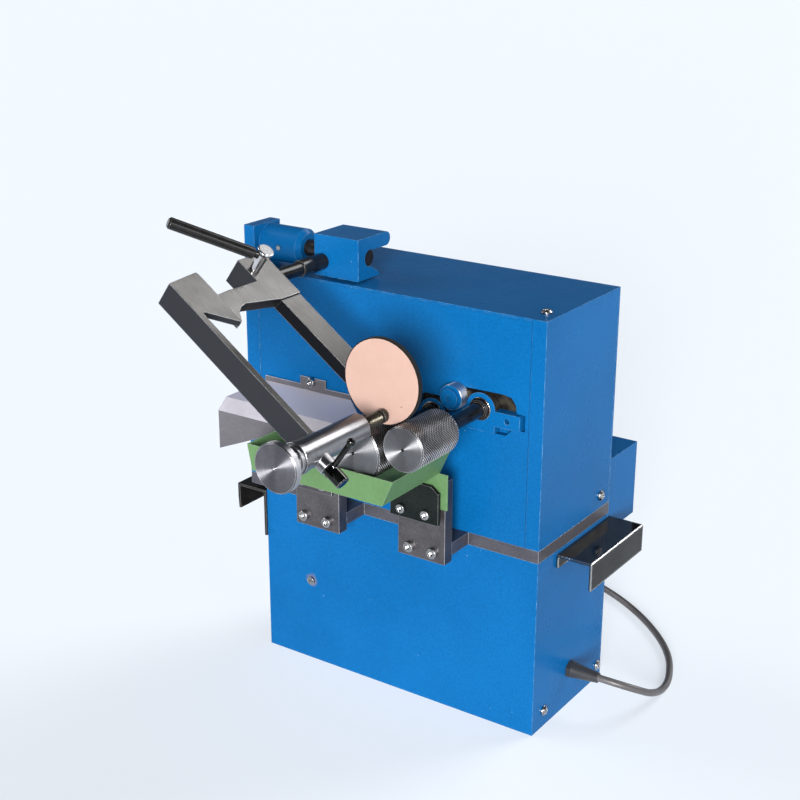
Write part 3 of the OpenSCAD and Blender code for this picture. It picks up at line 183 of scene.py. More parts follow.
def cordMesh(name, route, radius, sides):
    bm = bmesh.new()
    rings = []
    for i, p in enumerate(route):
        ahead = (route[min(i + 1, len(route) - 1)] - route[max(i - 1, 0)]).normalized()
        across = Vector((0, 0, 1)).cross(ahead).normalized()
        rings.append(tubeRing(bm, p, across, ahead.cross(across), radius, sides))
    joinTube(bm, rings)
    mesh = finishMesh(bm, name)
    shadeSmooth(mesh)
    return mesh


route = cordRoute(cord)
cordPiece = addObject("supplyCord", cordMesh("supplyCord", route, cord["radius"], cord["sides"]))
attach(cordPiece, "cabinet")
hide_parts("cord_tube")


# the nodes that every finish is made of
def newFinish(name, fixed):  # fixed: values that are the same all over the surface
    finish = bpy.data.materials.new(name)
    finish.use_nodes = True
    for socket, value in fixed.items():
        finish.node_tree.nodes["Principled BSDF"].inputs[socket].default_value = value
    return finish


def put(finish, kind, inputs, **settings):  # one node; an input is a number or another node's socket
    tree = finish.node_tree
    node = tree.nodes.new("ShaderNode" + kind)
    for key, value in settings.items():
        setattr(node, key, value)
    for key, value in inputs.items():
        if isinstance(value, bpy.types.NodeSocket):
            tree.links.new(value, node.inputs[key])
        else:
            node.inputs[key].default_value = value
    return node


def ramp(finish, fac, marks, values):  # marks are places from 0 to 1, values are greys or colours
    node = put(finish, "ValToRGB", {"Fac": fac})
    stops = node.color_ramp.elements
    for k, (mark, value) in enumerate(zip(marks, values)):
        stop = stops[k] if k < 2 else stops.new(mark)
        stop.position = mark
        stop.color = (value, value, value, 1) if isinstance(value, float) else (*value, 1)
    return node.outputs["Color"]


def drive(finish, **sockets):  # links worked out sockets to the shader
    inputs = finish.node_tree.nodes["Principled BSDF"].inputs
    names = {"colour": "Base Color", "roughness": "Roughness", "normal": "Normal", "tangent": "Tangent"}
    for key, socket in sockets.items():
        finish.node_tree.links.new(socket, inputs[names[key]])


def calc(finish, operation, a, b=0.0):
    return put(finish, "Math", {0: a, 1: b}, operation=operation).outputs[0]


def weighted(finish, a, shareA, b, shareB):
    return calc(finish, "ADD", calc(finish, "MULTIPLY", a, shareA), calc(finish, "MULTIPLY", b, shareB))


def mixed(finish, fac, a, b, kind="MIX"):  # each of the two is a colour or a socket
    a, b = ((*colour, 1) if isinstance(colour, tuple) else colour for colour in (a, b))
    return put(finish, "Mix", {0: fac, 6: a, 7: b}, data_type="RGBA", blend_type=kind).outputs[2]


def place(finish, centre=(0, 0, 0), turn=0.0, stretch=(1, 1, 1)):  # metres from a centre, turned about y, stretched
    at = put(finish, "TexCoord", {}).outputs["Object"]
    at = put(finish, "VectorMath", {0: at, 1: centre}, operation="SUBTRACT").outputs[0]
    at = put(finish, "VectorRotate", {"Vector": at, "Axis": (0, 1, 0), "Angle": math.radians(turn)}).outputs[0]
    return put(finish, "VectorMath", {0: at, 1: stretch}, operation="MULTIPLY").outputs[0]


def part(finish, vector, letter):
    return put(finish, "SeparateXYZ", {0: vector}).outputs[letter]


def facing(finish, letter):  # from -1 to 1, by how far the surface faces along that axis
    return part(finish, put(finish, "TexCoord", {}).outputs["Normal"], letter)


def fromAxis(finish, centre, stretch=(1, 0, 1)):  # distance from an axis that runs along y
    flat = place(finish, centre, stretch=stretch)
    return put(finish, "VectorMath", {0: flat}, operation="LENGTH").outputs["Value"]


def cloud(finish, at, scale, detail=3.0, rough=0.5):  # soft blotches, about as many to the metre as scale says
    return put(finish, "TexNoise", {"Vector": at, "Scale": scale, "Detail": detail, "Roughness": rough}).outputs[0]


def specks(finish, at, scale, size, share):  # scattered round dots
    cells = put(finish, "TexVoronoi", {"Vector": at, "Scale": scale})
    lot = put(finish, "SeparateColor", {0: cells.outputs["Color"]}).outputs[0]
    small = calc(finish, "LESS_THAN", cells.outputs["Distance"], size)
    return calc(finish, "MULTIPLY", small, calc(finish, "GREATER_THAN", lot, 1 - share))


def relief(finish, height, strength, depth, under=None):
    inputs = {"Height": height, "Strength": strength, "Distance": depth}
    if under:
        inputs["Normal"] = under
    return put(finish, "Bump", inputs).outputs[0]


def softEdge(finish, radius):  # rounded normal, and a mask that is 1 on sharp edges
    rounded = put(finish, "Bevel", {"Radius": radius}, samples=4).outputs[0]
    flat = put(finish, "NewGeometry", {}).outputs["Normal"]
    same = put(finish, "VectorMath", {0: rounded, 1: flat}, operation="DOT_PRODUCT").outputs["Value"]
    return rounded, ramp(finish, calc(finish, "SUBTRACT", 1.0, same), (0.004, 0.10), (0.0, 1.0))


# soft studio light over a pale floor; towards: the direction in which a light stands
studio = {"floorRadius": 16, "floorSides": 96, "floorColour": (0.42, 0.45, 0.49), "floorRough": 0.9, "floorShine": 0.1,
          "glowColour": (0.90, 0.95, 1.0), "floorGlow": 0.55,
          "haze": (0.80, 0.86, 0.93), "horizon": (0.42, 0.46, 0.52), "sky": (0.075, 0.080, 0.090),
          "heights": (0.0, 0.05, 0.30),
          "lights": {"front": {"towards": (0.43, -0.87, 0.18), "strength": 6.4, "spread": 22},
                     "rightSide": {"towards": (0.96, -0.24, 0.12), "strength": 0.55, "spread": 24},
                     "leftSide": {"towards": (-0.80, -0.20, 0.56), "strength": 0.9, "spread": 30},
                     "behind": {"towards": (0.34, 0.76, 0.58), "strength": 1.5, "spread": 30},
                     "highBehind": {"towards": (0.14, 0.78, 0.61), "strength": 0.2, "spread": 34}}}


def hangSky(s):
    world = bpy.data.worlds.new("studioAir")
    scene.world = world
    world.use_nodes = True
    height = part(world, put(world, "TexCoord", {}).outputs["Generated"], "Z")
    glow = ramp(world, height, s["heights"], (s["haze"], s["horizon"], s["sky"]))
    world.node_tree.links.new(glow, world.node_tree.nodes["Background"].inputs["Color"])


def hangLights(s):
    for name, light in s["lights"].items():
        lamp = bpy.data.lights.new(name + "Lamp", "SUN")
        lamp.energy = light["strength"]
        lamp.angle = math.radians(light["spread"])
        holder = bpy.data.objects.new(name + "Lamp", lamp)
        holder.rotation_mode = "QUATERNION"
        holder.rotation_quaternion = Vector(light["towards"]).to_track_quat("Z", "Y")
        scene.collection.objects.link(holder)


def layFloor(s):
    finish = newFinish("paleFloor", {"Base Color": (*s["floorColour"], 1), "Roughness": s["floorRough"],
                                     "Specular IOR Level": s["floorShine"], "Emission Color": (*s["glowColour"], 1),
                                     "Emission Strength": s["floorGlow"]})
    bm = bmesh.new()
    bmesh.ops.create_circle(bm, cap_ends=True, segments=s["floorSides"], radius=s["floorRadius"])
    mesh = bpy.data.meshes.new("studioFloor")
    bm.to_mesh(mesh)
    bm.free()
    addObject("studioFloor", mesh, finish)


hangSky(studio)
hangLights(studio)
layFloor(studio)
scene.view_settings.view_transform = "Standard"
print("floor and lights stand")

# hammered blue enamel; the edge colour is knocked paint in patches and also a painted highlight along the edges; peel:
# how fine the hammering is
# the near-black tones for the bearing openings are a painted shade
enamel = {"deep": (0.0012, 0.070, 0.205), "pale": (0.0025, 0.094, 0.270), "edgeWearAndPaintedLight": (0.16, 0.30, 0.46),
          "dust": (0.22, 0.36, 0.50), "rust": (0.16, 0.125, 0.12),
          "recessShadeTones": ((0.006, 0.005, 0.005), (0.040, 0.036, 0.028)), "shine": 0.06, "rough": (0.24, 0.36),
          "coat": 0.02, "coatRough": 0.08, "edge": 0.0009, "peel": 620.0, "peelDeep": 0.0004,
          "mottle": 7, "fineMottle": 470.0, "speckScale": 210, "speckSize": 0.08, "speckShare": 0.018}


def makeEnamel(s, name="blueEnamel", recessShade=None, stain=None):
    f = newFinish(name, {"Specular IOR Level": s["shine"], "Coat Weight": s["coat"], "Coat Roughness": s["coatRough"]})
    at = place(f)
    tone = weighted(f, cloud(f, at, s["mottle"], detail=4), 0.5, cloud(f, at, s["fineMottle"], detail=2), 0.5)
    colour = ramp(f, tone, (0.36, 0.62), (s["deep"], s["pale"]))
    colour = mixed(f, specks(f, at, s["speckScale"], s["speckSize"], s["speckShare"]), colour, s["dust"])
    rounded, edge = softEdge(f, s["edge"])
    chips = ramp(f, cloud(f, at, scale=130, detail=4, rough=0.65), (0.44, 0.60), (0.10, 0.75))
    # edges: patches of knocked paint with a painted highlight along them; the front panel uses a dark edge colour
    # instead, a painted shade
    colour = mixed(f, calc(f, "MULTIPLY", edge, chips), colour, s["edgeWearAndPaintedLight"])
    if stain:  # rust that has run out round a screw
        ragged = calc(f, "MULTIPLY", cloud(f, at, scale=160, detail=4, rough=0.65), stain["reach"])
        spread = calc(f, "ADD", fromAxis(f, stain["screw"]), ragged)
        amount = ramp(f, calc(f, "MULTIPLY", spread, 0.5 / stain["reach"]), (0.42, 0.70), (0.9, 0.0))
        colour = mixed(f, amount, colour, s["rust"])
    if recessShade:  # painted shade: inside the opening round a bearing, behind the panel face, the colour is darkened to a brownish near black
        inOpening = calc(f, "MULTIPLY", calc(f, "GREATER_THAN", part(f, at, "Y"), recessShade["behind"]),
                      calc(f, "GREATER_THAN", part(f, at, "Z"), recessShade["above"]))
        openingShade = ramp(f, cloud(f, at, scale=90, detail=4, rough=0.6), (0.35, 0.65), s["recessShadeTones"])
        colour = mixed(f, inOpening, colour, openingShade)
    handled = cloud(f, at, scale=26, detail=5, rough=0.6)
    drive(f, colour=colour, roughness=ramp(f, handled, (0.3, 0.7), s["rough"]),
          normal=relief(f, cloud(f, at, s["peel"], detail=2), strength=0.10, depth=s["peelDeep"], under=rounded))
    return f


# shine: specular level; glance: how bright the metal gets where it is seen at a grazing angle; edge: colour put on
# sharp edges, a painted highlight with some bare worn metal
steelTones = {
    "blackOxide": {"low": (0.006, 0.006, 0.006), "high": (0.018, 0.017, 0.017), "edge": (0.14, 0.13, 0.12),
                   "metal": 0.2, "shine": 0.3, "glance": 1, "rough": (0.12, 0.22)},
    "millPlate": {"low": (0.072, 0.067, 0.073), "high": (0.128, 0.120, 0.128), "edge": (0.62, 0.62, 0.64),
                  "metal": 0.85, "shine": 0.5, "glance": 1, "rough": (0.38, 0.52)},
    "groundBar": {"low": (0.13, 0.128, 0.125), "high": (0.24, 0.235, 0.23), "edge": (0.80, 0.80, 0.80),
                  "metal": 1.0, "shine": 0.5, "glance": 0.25, "rough": (0.28, 0.42)},
    "polished": {"low": (0.17, 0.17, 0.18), "high": (0.32, 0.32, 0.34), "edge": (0.85, 0.85, 0.85),
                 "metal": 1.0, "shine": 0.5, "glance": 1, "rough": (0.12, 0.24)},
    "chrome": {"low": (0.50, 0.50, 0.51), "high": (0.70, 0.70, 0.71), "edge": (0.95, 0.95, 0.95),
               "metal": 1.0, "shine": 0.5, "glance": 1, "rough": (0.08, 0.16)},
    "darkChrome": {"low": (0.020, 0.020, 0.019), "high": (0.060, 0.060, 0.057), "edge": (0.90, 0.90, 0.90),
                   "metal": 1.0, "shine": 0.5, "glance": 0.8, "rough": (0.08, 0.16)},
    "deckSteel": {"low": (0.050, 0.050, 0.062), "high": (0.092, 0.090, 0.106), "edge": (0.45, 0.47, 0.52),
                  "metal": 0.5, "shine": 0.4, "glance": 1, "rough": (0.34, 0.48)},
    "zincPlate": {"low": (0.22, 0.22, 0.225), "high": (0.40, 0.40, 0.40), "edge": (0.85, 0.85, 0.84),
                  "metal": 1.0, "shine": 0.5, "glance": 1, "rough": (0.18, 0.34)},
    "castAlloy": {"low": (0.25, 0.26, 0.27), "high": (0.40, 0.41, 0.42), "edge": (0.70, 0.70, 0.70),
                  "metal": 0.9, "shine": 0.5, "glance": 1, "rough": (0.42, 0.60)},
    "bushBronze": {"low": (0.10, 0.085, 0.078), "high": (0.34, 0.29, 0.27), "edge": (0.85, 0.78, 0.66),
                   "metal": 1.0, "shine": 0.5, "glance": 1, "rough": (0.20, 0.34)},
}


# streaks: how fine the brushing is along x, y and z; the colour given for faces that face along y is a painted shade,
# darker than the ground faces;
# fade: a painted shade along the bar, bright as far as the first distance from the rod, then duller, down to the last
# value at the second distance
def makeSteel(name, tones, streaks, grainDepth=0.0001, edgeRadius=0.0007, turn=0.0, yFaceShade=None, fade=None):
    s = steelTones[tones]
    f = newFinish(name, {"Metallic": s["metal"], "Specular IOR Level": s["shine"],
                         "Specular Tint": (s["glance"], s["glance"], s["glance"], 1)})
    brushed = cloud(f, place(f, turn=turn, stretch=streaks), scale=22, rough=0.6)
    patchy = cloud(f, place(f, turn=turn), scale=45, detail=4, rough=0.6)
    rounded, edge = softEdge(f, edgeRadius)
    colour = ramp(f, weighted(f, brushed, 0.55, patchy, 0.45), (0.36, 0.66), (s["low"], s["high"]))
    # painted shade: the bar's colour dims with distance from the rod
    if fade:
        bright, dull, left = fade
        perMetre = 5.0  # the ramp covers 200 mm of the bar
        along = calc(f, "MULTIPLY", part(f, place(f, rodAxis, turn), "X"), perMetre)
        colour = mixed(f, 1.0, colour, ramp(f, along, (bright * perMetre, dull * perMetre), (1.0, left)), "MULTIPLY")
    if yFaceShade:
        # painted shade: the faces that face along y get a darker colour
        facingAlongY = calc(f, "GREATER_THAN", calc(f, "ABSOLUTE", facing(f, "Y")), 0.6)
        colour = mixed(f, facingAlongY, colour, yFaceShade)
    # a painted highlight along the sharp edges, partly bare worn metal
    colour = mixed(f, calc(f, "MULTIPLY", edge, 0.7), colour, s["edge"])
    drive(f, colour=colour, roughness=ramp(f, patchy, (0.32, 0.68), s["rough"]),
          normal=relief(f, brushed, strength=0.22, depth=grainDepth, under=rounded))
    return f


def makeForkBar(name, yFaceShade, fade=None):
    # a wider edge mask gives the bars a thicker painted highlight along their edges
    return makeSteel(name, "groundBar", (3, 60, 60), edgeRadius=0.0011, turn=barTurn, yFaceShade=yFaceShade, fade=fade)


# a shineTurn of a quarter spreads the shine across the cuts of the tool
# the edge colour of turned parts is a painted highlight along their sharp edges
turned = {"shineTurn": 0.25, "edge": 0.0006, "edgeWearAndHighlight": (0.85, 0.85, 0.87)}


# rings: how fine those cuts are; sides: colour of the round side, a painted highlight that makes it brighter than the
# faces
def makeTurned(name, centre, low, high, rough, rings=1900.0, anisotropy=0.97, sides=None, depth=0.00005):
    f = newFinish(name, {"Metallic": 1.0, "Roughness": rough, "Anisotropic": anisotropy,
                         "Anisotropic Rotation": turned["shineTurn"]})
    outward = calc(f, "MULTIPLY", fromAxis(f, centre), rings)
    lengthwise = calc(f, "MULTIPLY", part(f, place(f, centre), "Y"), rings)
    cuts = cloud(f, put(f, "CombineXYZ", {0: outward, 1: lengthwise}).outputs[0], scale=1.0, rough=0.7)
    patchy = cloud(f, place(f, centre), scale=60)
    rounded, edge = softEdge(f, turned["edge"])
    colour = ramp(f, weighted(f, cuts, 0.6, patchy, 0.4), (0.35, 0.65), (low, high))
    # painted highlight: the round side gets a brighter colour than the faces
    if sides:
        colour = mixed(f, calc(f, "LESS_THAN", calc(f, "ABSOLUTE", facing(f, "Y")), 0.5), colour, sides)
    # painted highlight along the sharp edges
    colour = mixed(f, edge, colour, turned["edgeWearAndHighlight"])
    drive(f, colour=colour, normal=relief(f, cuts, strength=0.10, depth=depth, under=rounded),
          tangent=put(f, "Tangent", {}, direction_type="RADIAL", axis="Y").outputs[0])
    return f


# paint, plastic or rubber; grain: how fine its surface is; the colour for upward faces is partly dust and partly
# painted light, lighter than the sides
def makePlain(name, low, high, rough, grain=900.0, depth=0.0002, fixed=None, edgeWearAndHighlight=None, edgeRadius=0.0006,
              upwardLightAndDust=None):
    f = newFinish(name, fixed or {})
    at = place(f)
    tone = weighted(f, cloud(f, at, scale=18, detail=4), 0.6, cloud(f, at, grain / 2, detail=2), 0.4)
    rounded, edge = softEdge(f, edgeRadius)
    colour = ramp(f, tone, (0.36, 0.64), (low, high))
    if upwardLightAndDust:
        # upward faces get a lighter colour: some dust and a painted top light
        drifts = cloud(f, at, scale=25, detail=4, rough=0.6)
        upward = calc(f, "ADD", facing(f, "Z"), calc(f, "MULTIPLY", drifts, 0.12))
        colour = mixed(f, ramp(f, upward, (0.70, 0.95), (0.0, 0.9)), colour, upwardLightAndDust)
    # edges: a lighter colour, partly wear and partly a painted highlight
    colour = mixed(f, calc(f, "MULTIPLY", edge, 0.6), colour, edgeWearAndHighlight or high)
    handled = cloud(f, at, scale=40, detail=4, rough=0.6)
    drive(f, colour=colour, roughness=ramp(f, handled, (0.3, 0.7), rough),
          normal=relief(f, cloud(f, at, grain), strength=0.18, depth=depth, under=rounded))
    return f


# the leather on the guide disc: vegetable tanned, with a dyed dark edge and one small nick
leather = {"colour": (0.37, 0.240, 0.195), "pale": (0.41, 0.270, 0.222), "rim": (0.003, 0.003, 0.003),
           "rimFrom": 0.0365, "ragged": 0.0006, "pores": 1100, "rough": (0.62, 0.8),
           "nick": (0.0198, 0, -0.0180), "nickSize": 0.0009, "nickColour": (0.10, 0.05, 0.03)}


def makeLeather(s, centre):
    f = newFinish("leatherSample", {"Specular IOR Level": 0.15, "Sheen Weight": 0.03, "Sheen Roughness": 0.5})
    at = place(f, centre)
    pores = put(f, "TexVoronoi", {"Vector": at, "Scale": s["pores"]}).outputs["Distance"]
    tone = weighted(f, cloud(f, at, scale=38, detail=5, rough=0.6), 0.7, pores, 0.35)
    colour = ramp(f, tone, (0.34, 0.66), (s["colour"], s["pale"]))
    ragged = calc(f, "MULTIPLY", cloud(f, at, scale=300, detail=2), s["ragged"])
    outward = calc(f, "ADD", fromAxis(f, centre), ragged)
    colour = mixed(f, calc(f, "GREATER_THAN", outward, s["rimFrom"] + s["ragged"] / 2), colour, s["rim"])
    fromNick = fromAxis(f, centre + Vector(s["nick"]), stretch=(1, 0, 2))  # twice as wide as high
    colour = mixed(f, calc(f, "LESS_THAN", fromNick, s["nickSize"]), colour, s["nickColour"])
    drive(f, colour=colour, roughness=ramp(f, tone, (0.3, 0.7), s["rough"]),
          normal=relief(f, tone, strength=0.25, depth=0.0002))
    return f


def middle(node):
    low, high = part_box(node)
    return (low + high) / 2


# finishes by material slot, and then the nodes that look different from the rest of their slot
enamelBlue = makeEnamel(enamel)
finishOf = {
    "blue_paint": enamelBlue,
    "steel_plate": makeSteel("millPlate", "millPlate", (30, 30, 30)),
    "turned_steel": makeSteel("turnedBright", "polished", (60, 8, 60)),
    "black_steel": makeSteel("blackOxide", "blackOxide", (60, 6, 60), grainDepth=0.00006),
    "zinc": makeSteel("zincPlate", "zincPlate", (40, 40, 40)),
    "bronze": makeSteel("bushBronze", "bushBronze", (30, 60, 30)),
    "alu_cast": makeSteel("castAlloy", "castAlloy", (30, 30, 30), grainDepth=0.0003),
    # the tray and table get lighter upward faces, a painted top light with some dust
    "green_paint": makePlain("trayGreen", (0.066, 0.136, 0.051), (0.086, 0.170, 0.070), (0.38, 0.55), grain=700,
                             fixed={"Specular IOR Level": 0.25}, edgeWearAndHighlight=(0.30, 0.40, 0.27),
                             upwardLightAndDust=(0.21, 0.36, 0.18)),
    "grey_paint": makePlain("tableGrey", (0.066, 0.062, 0.070), (0.092, 0.086, 0.096), (0.34, 0.48), grain=800,
                            edgeWearAndHighlight=(0.45, 0.45, 0.50), upwardLightAndDust=(0.72, 0.69, 0.78)),
    "black_plastic": makePlain("blackPlastic", (0.012, 0.012, 0.013), (0.028, 0.028, 0.030), (0.38, 0.52), grain=1200),
    "red_plastic": makePlain("redRocker", (0.42, 0.015, 0.010), (0.55, 0.03, 0.02), (0.25, 0.35), depth=0.0001,
                             fixed={"Coat Weight": 0.3}),
    "belt_rubber": makePlain("beltGreen", (0.02, 0.10, 0.045), (0.04, 0.16, 0.07), (0.5, 0.65), depth=0.0003),
    "cord_rubber": makePlain("cordRubber", (0.050, 0.046, 0.047), (0.095, 0.088, 0.090), (0.30, 0.45), grain=1600),
    "disc_face": makeLeather(leather, middle("guide_disc")),
}
finishFor = {
    "lower_casing": makeEnamel(enamel, "lowerEnamel", stain={"screw": (-0.100, 0, 0.0878), "reach": 0.0085}),
    # the panel's edge colour is dark navy, a painted shade on the edges of its openings
    "front_panel": makeEnamel(dict(enamel, edgeWearAndPaintedLight=(0.003, 0.055, 0.160)), "panelEnamel"),
    # painted shade inside the bearing openings, behind the panel face
    "bearing_block_right": makeEnamel(enamel, "bearingRightEnamel", recessShade={"behind": -0.0715, "above": 0.3117}),
    "bearing_block_left": makeEnamel(enamel, "bearingLeftEnamel", recessShade={"behind": -0.0715, "above": 0.2990}),
    "idler_stud": enamelBlue,
    "deck_plate": makeSteel("deckSteel", "deckSteel", (30, 30, 30)),
    # wide edge masks paint bright highlight bands along the handles' bends
    "carry_handle_left": makeSteel("handleDark", "blackOxide", (60, 4, 60), grainDepth=0.00004, edgeRadius=0.0014),
    "carry_handle_right": makeSteel("handleChrome", "darkChrome", (60, 4, 60), grainDepth=0.00004, edgeRadius=0.0026),
    "lock_screw": makeSteel("lockChrome", "darkChrome", (6, 6, 6), grainDepth=0.00003),
    "clamp_screw": makeSteel("chromeScrew", "chrome", (4, 4, 4), grainDepth=0.00002),
    # fork bars: faces along y get a painted shade, and the arms get a painted shade that dims them away from the rod
    "fork_front_arm": makeForkBar("armGround", yFaceShade=(0.060, 0.061, 0.067), fade=(0.02, 0.07, 0.22)),
    "fork_bridge": makeForkBar("bridgeGround", yFaceShade=(0.054, 0.055, 0.060)),
    "fork_rear_arm": makeForkBar("rearArmGround", yFaceShade=(0.016, 0.017, 0.020), fade=(0.01, 0.14, 0.12)),
    # the knob's round side is painted brighter, a painted highlight
    "knob": makeTurned("knobTurned", middle("knob"), (0.130, 0.126, 0.138), (0.245, 0.238, 0.256), rough=0.40,
                       sides=(0.42, 0.42, 0.44)),
    "barrel": makeTurned("barrelTurned", spindleAxis, (0.20, 0.20, 0.21), (0.35, 0.35, 0.36), rough=0.31,
                         rings=1500, anisotropy=0.88, depth=0.00002),
    "hanger_plate_right": makePlain("hangerBlack", (0.003, 0.005, 0.005), (0.012, 0.015, 0.014), (0.40, 0.52),
                                    fixed={"Specular IOR Level": 0.04}, edgeWearAndHighlight=(0.30, 0.32, 0.32)),
    "spindle_tip": makePlain("wornTip", (0.030, 0.028, 0.025), (0.080, 0.075, 0.068), (0.26, 0.42), grain=1500,
                             depth=0.0001, fixed={"Metallic": 0.8}, edgeWearAndHighlight=(0.36, 0.34, 0.31)),
}
for name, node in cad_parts.items():
    for entry in node.material_slots:
        entry.material = finishFor.get(name) or finishOf[entry.material.name]
cordPiece.data.materials.append(finishOf["cord_rubber"])
print("finishes are on the CAD nodes")

# knurled rollers: diamonds cut into the rim, then a narrow plain band and a chamfer next to the turned face
roller = {"diamond": 0.0026, "deep": 0.00075, "endsDeeper": 1.1, "plain": 0.0013, "chamfer": 0.0012,
          "centreHole": 0.0016, "faceRings": (0.35, 0.7), "hub": 0.011, "hubFoot": 0.001, "hubOut": 0.005,
          "bore": 0.007, "boreDeep": 0.042, "sharpAt": 25,
          "faceTones": ((0.13, 0.13, 0.135), (0.27, 0.27, 0.28)), "faceRough": 0.45,
          "shadedGrooveToBrightPoint": ((0.016, 0.015, 0.015), (0.17, 0.163, 0.166), (0.85, 0.83, 0.84)), "rough": (0.26, 0.40),
          "bodies": {"roller_left": "left_roller", "roller_right": "right_roller"}}


def makeKnurl(name, big, s):  # the grooves get a painted shade, and the points a bright tone that is partly wear and partly a painted highlight
    f = newFinish(name, {"Metallic": 1.0})
    patchy = cloud(f, place(f), scale=70, detail=4, rough=0.6)
    height = calc(f, "MULTIPLY", calc(f, "SUBTRACT", fromAxis(f, (0, 0, 0)), big - s["deep"]), 1 / s["deep"])
    height = calc(f, "ADD", height, calc(f, "MULTIPLY", calc(f, "SUBTRACT", patchy, 0.5), 0.5))
    drive(f, colour=ramp(f, height, (0.05, 0.40, 0.80), s["shadedGrooveToBrightPoint"]),
          roughness=ramp(f, patchy, (0.3, 0.7), s["rough"]))
    return f


def cutDiamonds(bm, s, big, length, around):
    span = length - s["chamfer"] - s["plain"]
    rows = 2 * round(span / s["diamond"])
    grid = []
    for j in range(rows + 1):
        ends = j in (0, rows)
        groove = big - s["deep"] * (s["endsDeeper"] if ends else 1.0)
        radii = [big if (i + j) % 2 == 1 and not ends else groove for i in range(around)]
        grid.append(axisRing(bm, radii, s["plain"] + span * j / rows))
    for j in range(rows):
        for i in range(around):
            n = (i + 1) % around
            a, b, c, d = grid[j][i], grid[j][n], grid[j + 1][n], grid[j + 1][i]
            if (i + j) % 2 == 0:  # the groove runs from a to c
                bm.faces.new((a, b, c))
                bm.faces.new((a, c, d))
            else:
                bm.faces.new((b, c, d))
                bm.faces.new((a, b, d))
    return grid


def knurledRoller(node, body, s):
    low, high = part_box(node)
    centre = middle(node)
    big = (high.x - low.x) / 2
    length = high.y - low.y - s["hubOut"]
    hubEnd = length + s["hubOut"]
    boreEnd = length - s["boreDeep"]
    around = 2 * round(math.tau * big / s["diamond"])  # two steps for each diamond
    bm = bmesh.new()
    grid = cutDiamonds(bm, s, big, length, around)
    front = lathe(bm, [(0, s["centreHole"]), (s["centreHole"], 0)] + [(big * share, 0) for share in s["faceRings"]]
                  + [(big - s["chamfer"], 0), (big, s["chamfer"])], around)
    back = lathe(bm, [(big - s["chamfer"], length), (s["hub"] + s["hubFoot"], length), (s["hub"], hubEnd),
                      (s["bore"], hubEnd), (s["bore"], boreEnd), (0, boreEnd)], around)
    joinRings(bm, front[-1], grid[0])
    joinRings(bm, grid[-1], back[0])
    mesh = finishMesh(bm, node + "Knurled")
    # the small triangles are the diamonds and the dark hole in the centre
    small = {f.index for f in mesh.polygons if len(f.vertices) == 3 and f.area < s["diamond"] ** 2}
    shadeSmooth(mesh, s["sharpAt"], small)
    piece = addObject(node + "Knurled", mesh, makeTurned(node + "Turned", (0, 0, 0), *s["faceTones"], s["faceRough"]))
    mesh.materials.append(makeKnurl(node + "Diamonds", big, s))
    for f in mesh.polygons:
        f.material_index = int(f.index in small)
    piece.location = (centre.x, low.y, centre.z)
    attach(piece, body)
    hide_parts(node)


for rollerNode, rollerBody in roller["bodies"].items():
    knurledRoller(rollerNode, rollerBody, roller)
print("rollers knurled")

# bright turned sleeve round the idler boss
sleeve = {"axis": (0.06813, 0, 0.31863), "inner": 0.0112, "outer": 0.01165, "front": -0.0805, "rear": -0.0691,
          "bevel": 0.0004, "sides": 96, "sharpAt": 30,
          "tones": ((0.40, 0.42, 0.46), (0.62, 0.64, 0.68)), "rough": 0.38, "rings": 1500, "anisotropy": 0.9}


def idlerSleeve(s):
    bm = bmesh.new()
    rings = lathe(bm, [(s["inner"], s["front"]), (s["outer"] - s["bevel"], s["front"]),
                       (s["outer"], s["front"] + s["bevel"]), (s["outer"], s["rear"]), (s["inner"], s["rear"])],
                  s["sides"])
    joinRings(bm, rings[-1], rings[0])
    mesh = finishMesh(bm, "idlerSleeve")
    shadeSmooth(mesh, s["sharpAt"])
    bright = makeTurned("sleeveTurned", (0, 0, 0), *s["tones"], s["rough"], s["rings"], s["anisotropy"])
    piece = addObject("idlerSleeve", mesh, bright)
    piece.location = s["axis"]
    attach(piece, "cabinet")


idlerSleeve(sleeve)
print("idler sleeve turned")

# screw spindle with its real helix; flank and crestTo are parts of one turn of the thread
screw = {"pitch": 0.002, "crest": 0.0056, "root": 0.00455, "threadFrom": -0.153, "threadTo": -0.1175,
         "flank": 0.38, "crestTo": 0.93, "runOut": 0.0015, "endLeft": 0.2, "nose": 0.003, "noseFoot": 0.0001,
         "bevel": 0.0004, "shoulder": 0.0006, "sides": 40, "perTurn": 10, "sharpAt": 32}


def threadRadius(s, around, fade):  # around: where the point stands on its turn of the thread, from 0 to 1
    rise = min(1.0, max(0.0, min(around, s["crestTo"] - around) / s["flank"]))
    return s["root"] + (s["crest"] - s["root"]) * rise * max(0.0, fade)


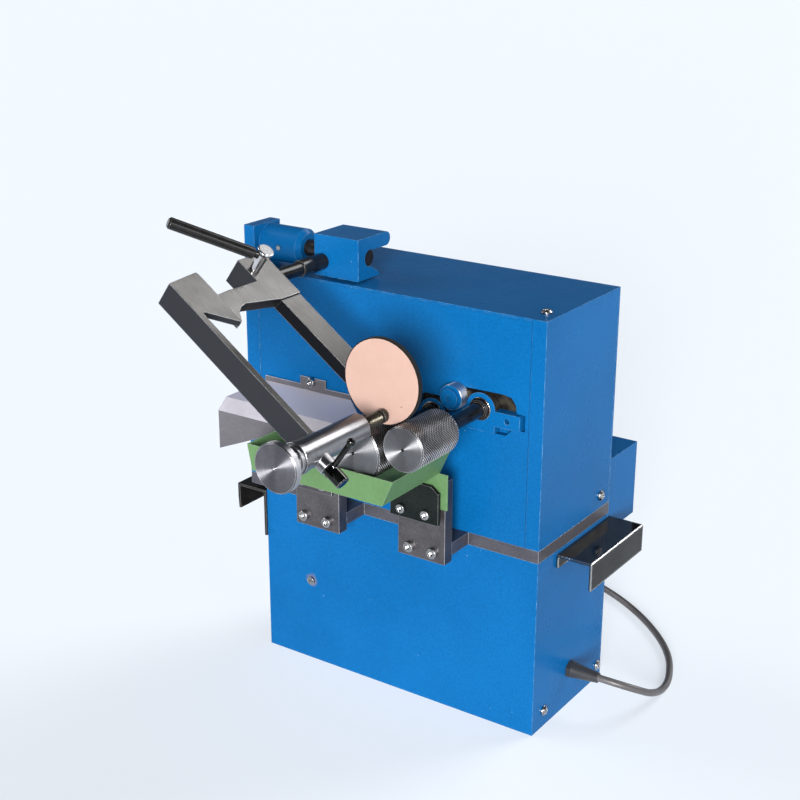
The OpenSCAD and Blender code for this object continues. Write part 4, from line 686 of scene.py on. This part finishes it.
def threadedSpindle(s):
    bm = bmesh.new()
    low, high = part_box("spindle")
    start, end = s["threadFrom"] + frontY, s["threadTo"] + frontY
    rings = [lathe(bm, [(0, low.y), (s["crest"] - s["bevel"], low.y), (s["crest"], low.y + s["bevel"]),
                        (s["crest"], start - s["shoulder"])], s["sides"])[-1]]
    rows = round((end - start) / s["pitch"] * s["perTurn"])
    for j in range(rows + 1):
        y = start + (end - start) * j / rows
        fade = min(1.0, (y - start) / s["runOut"], (end - y) / s["runOut"] + s["endLeft"])
        places = [((y - start) / s["pitch"] - k / s["sides"]) % 1.0 for k in range(s["sides"])]
        rings.append(axisRing(bm, [threadRadius(s, around, fade) for around in places], y))
    for one, two in zip(rings, rings[1:]):
        joinRings(bm, one, two)
    nose = lathe(bm, [(s["nose"], end + s["noseFoot"]), (s["nose"], high.y - s["bevel"]),
                      (s["nose"] - s["bevel"], high.y), (0, high.y)], s["sides"])
    joinRings(bm, rings[-1], nose[0])
    mesh = finishMesh(bm, "threadedSpindle")
    shadeSmooth(mesh, s["sharpAt"])
    oiled = makePlain("oiledThread", (0.022, 0.020, 0.014), (0.065, 0.058, 0.043), (0.24, 0.38), grain=1500,
                      depth=0.0001, fixed={"Metallic": 0.85}, edgeWearAndHighlight=(0.42, 0.38, 0.30), edgeRadius=0.0003)
    piece = addObject("threadedSpindle", mesh, oiled)
    piece.location = spindleAxis
    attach(piece, "spindle_knob")
    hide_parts("spindle")


threadedSpindle(screw)
print("spindle thread cut")

# weld beads where the front arm meets the barrel; valley: how thick the bead is between two ripples
weld = {"radius": 0.0016, "barrel": 0.0123, "planes": (-0.1991, -0.1929), "from": 172, "to": 276, "ripple": 0.0011,
        "stepsPerRipple": 3, "valley": 0.72, "uneven": 0.22, "ends": 0.5, "sides": 10, "sharpAt": 60}


def weldBeads(s):
    bm = bmesh.new()
    sweep = s["to"] - s["from"]
    steps = round(math.radians(sweep) * s["barrel"] / s["ripple"] * s["stepsPerRipple"])
    for y in s["planes"]:
        rings = []
        for i in range(steps + 1):
            a = math.radians(s["from"] + sweep * i / steps) + math.radians(barTurn)
            wave = 0.5 + 0.5 * math.cos(i / s["stepsPerRipple"] * math.tau)
            thick = s["radius"] * (s["valley"] + (1 - s["valley"]) * wave) * (s["ends"] if i in (0, steps) else 1)
            thick *= 1 + s["uneven"] * (random.random() - 0.5)
            outward = Vector((math.cos(a), 0, math.sin(a)))
            centre = Vector(spindleAxis) + Vector((0, y + frontY, 0)) + outward * s["barrel"]
            rings.append(tubeRing(bm, centre, outward, Vector((0, 1, 0)), thick, s["sides"]))
        joinTube(bm, rings)
    mesh = finishMesh(bm, "weldBeads")
    shadeSmooth(mesh, s["sharpAt"])
    piece = addObject("weldBeads", mesh, makeSteel("weldMetal", "groundBar", (30, 30, 30)))
    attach(piece, "fork")


weldBeads(weld)
print("welds laid")
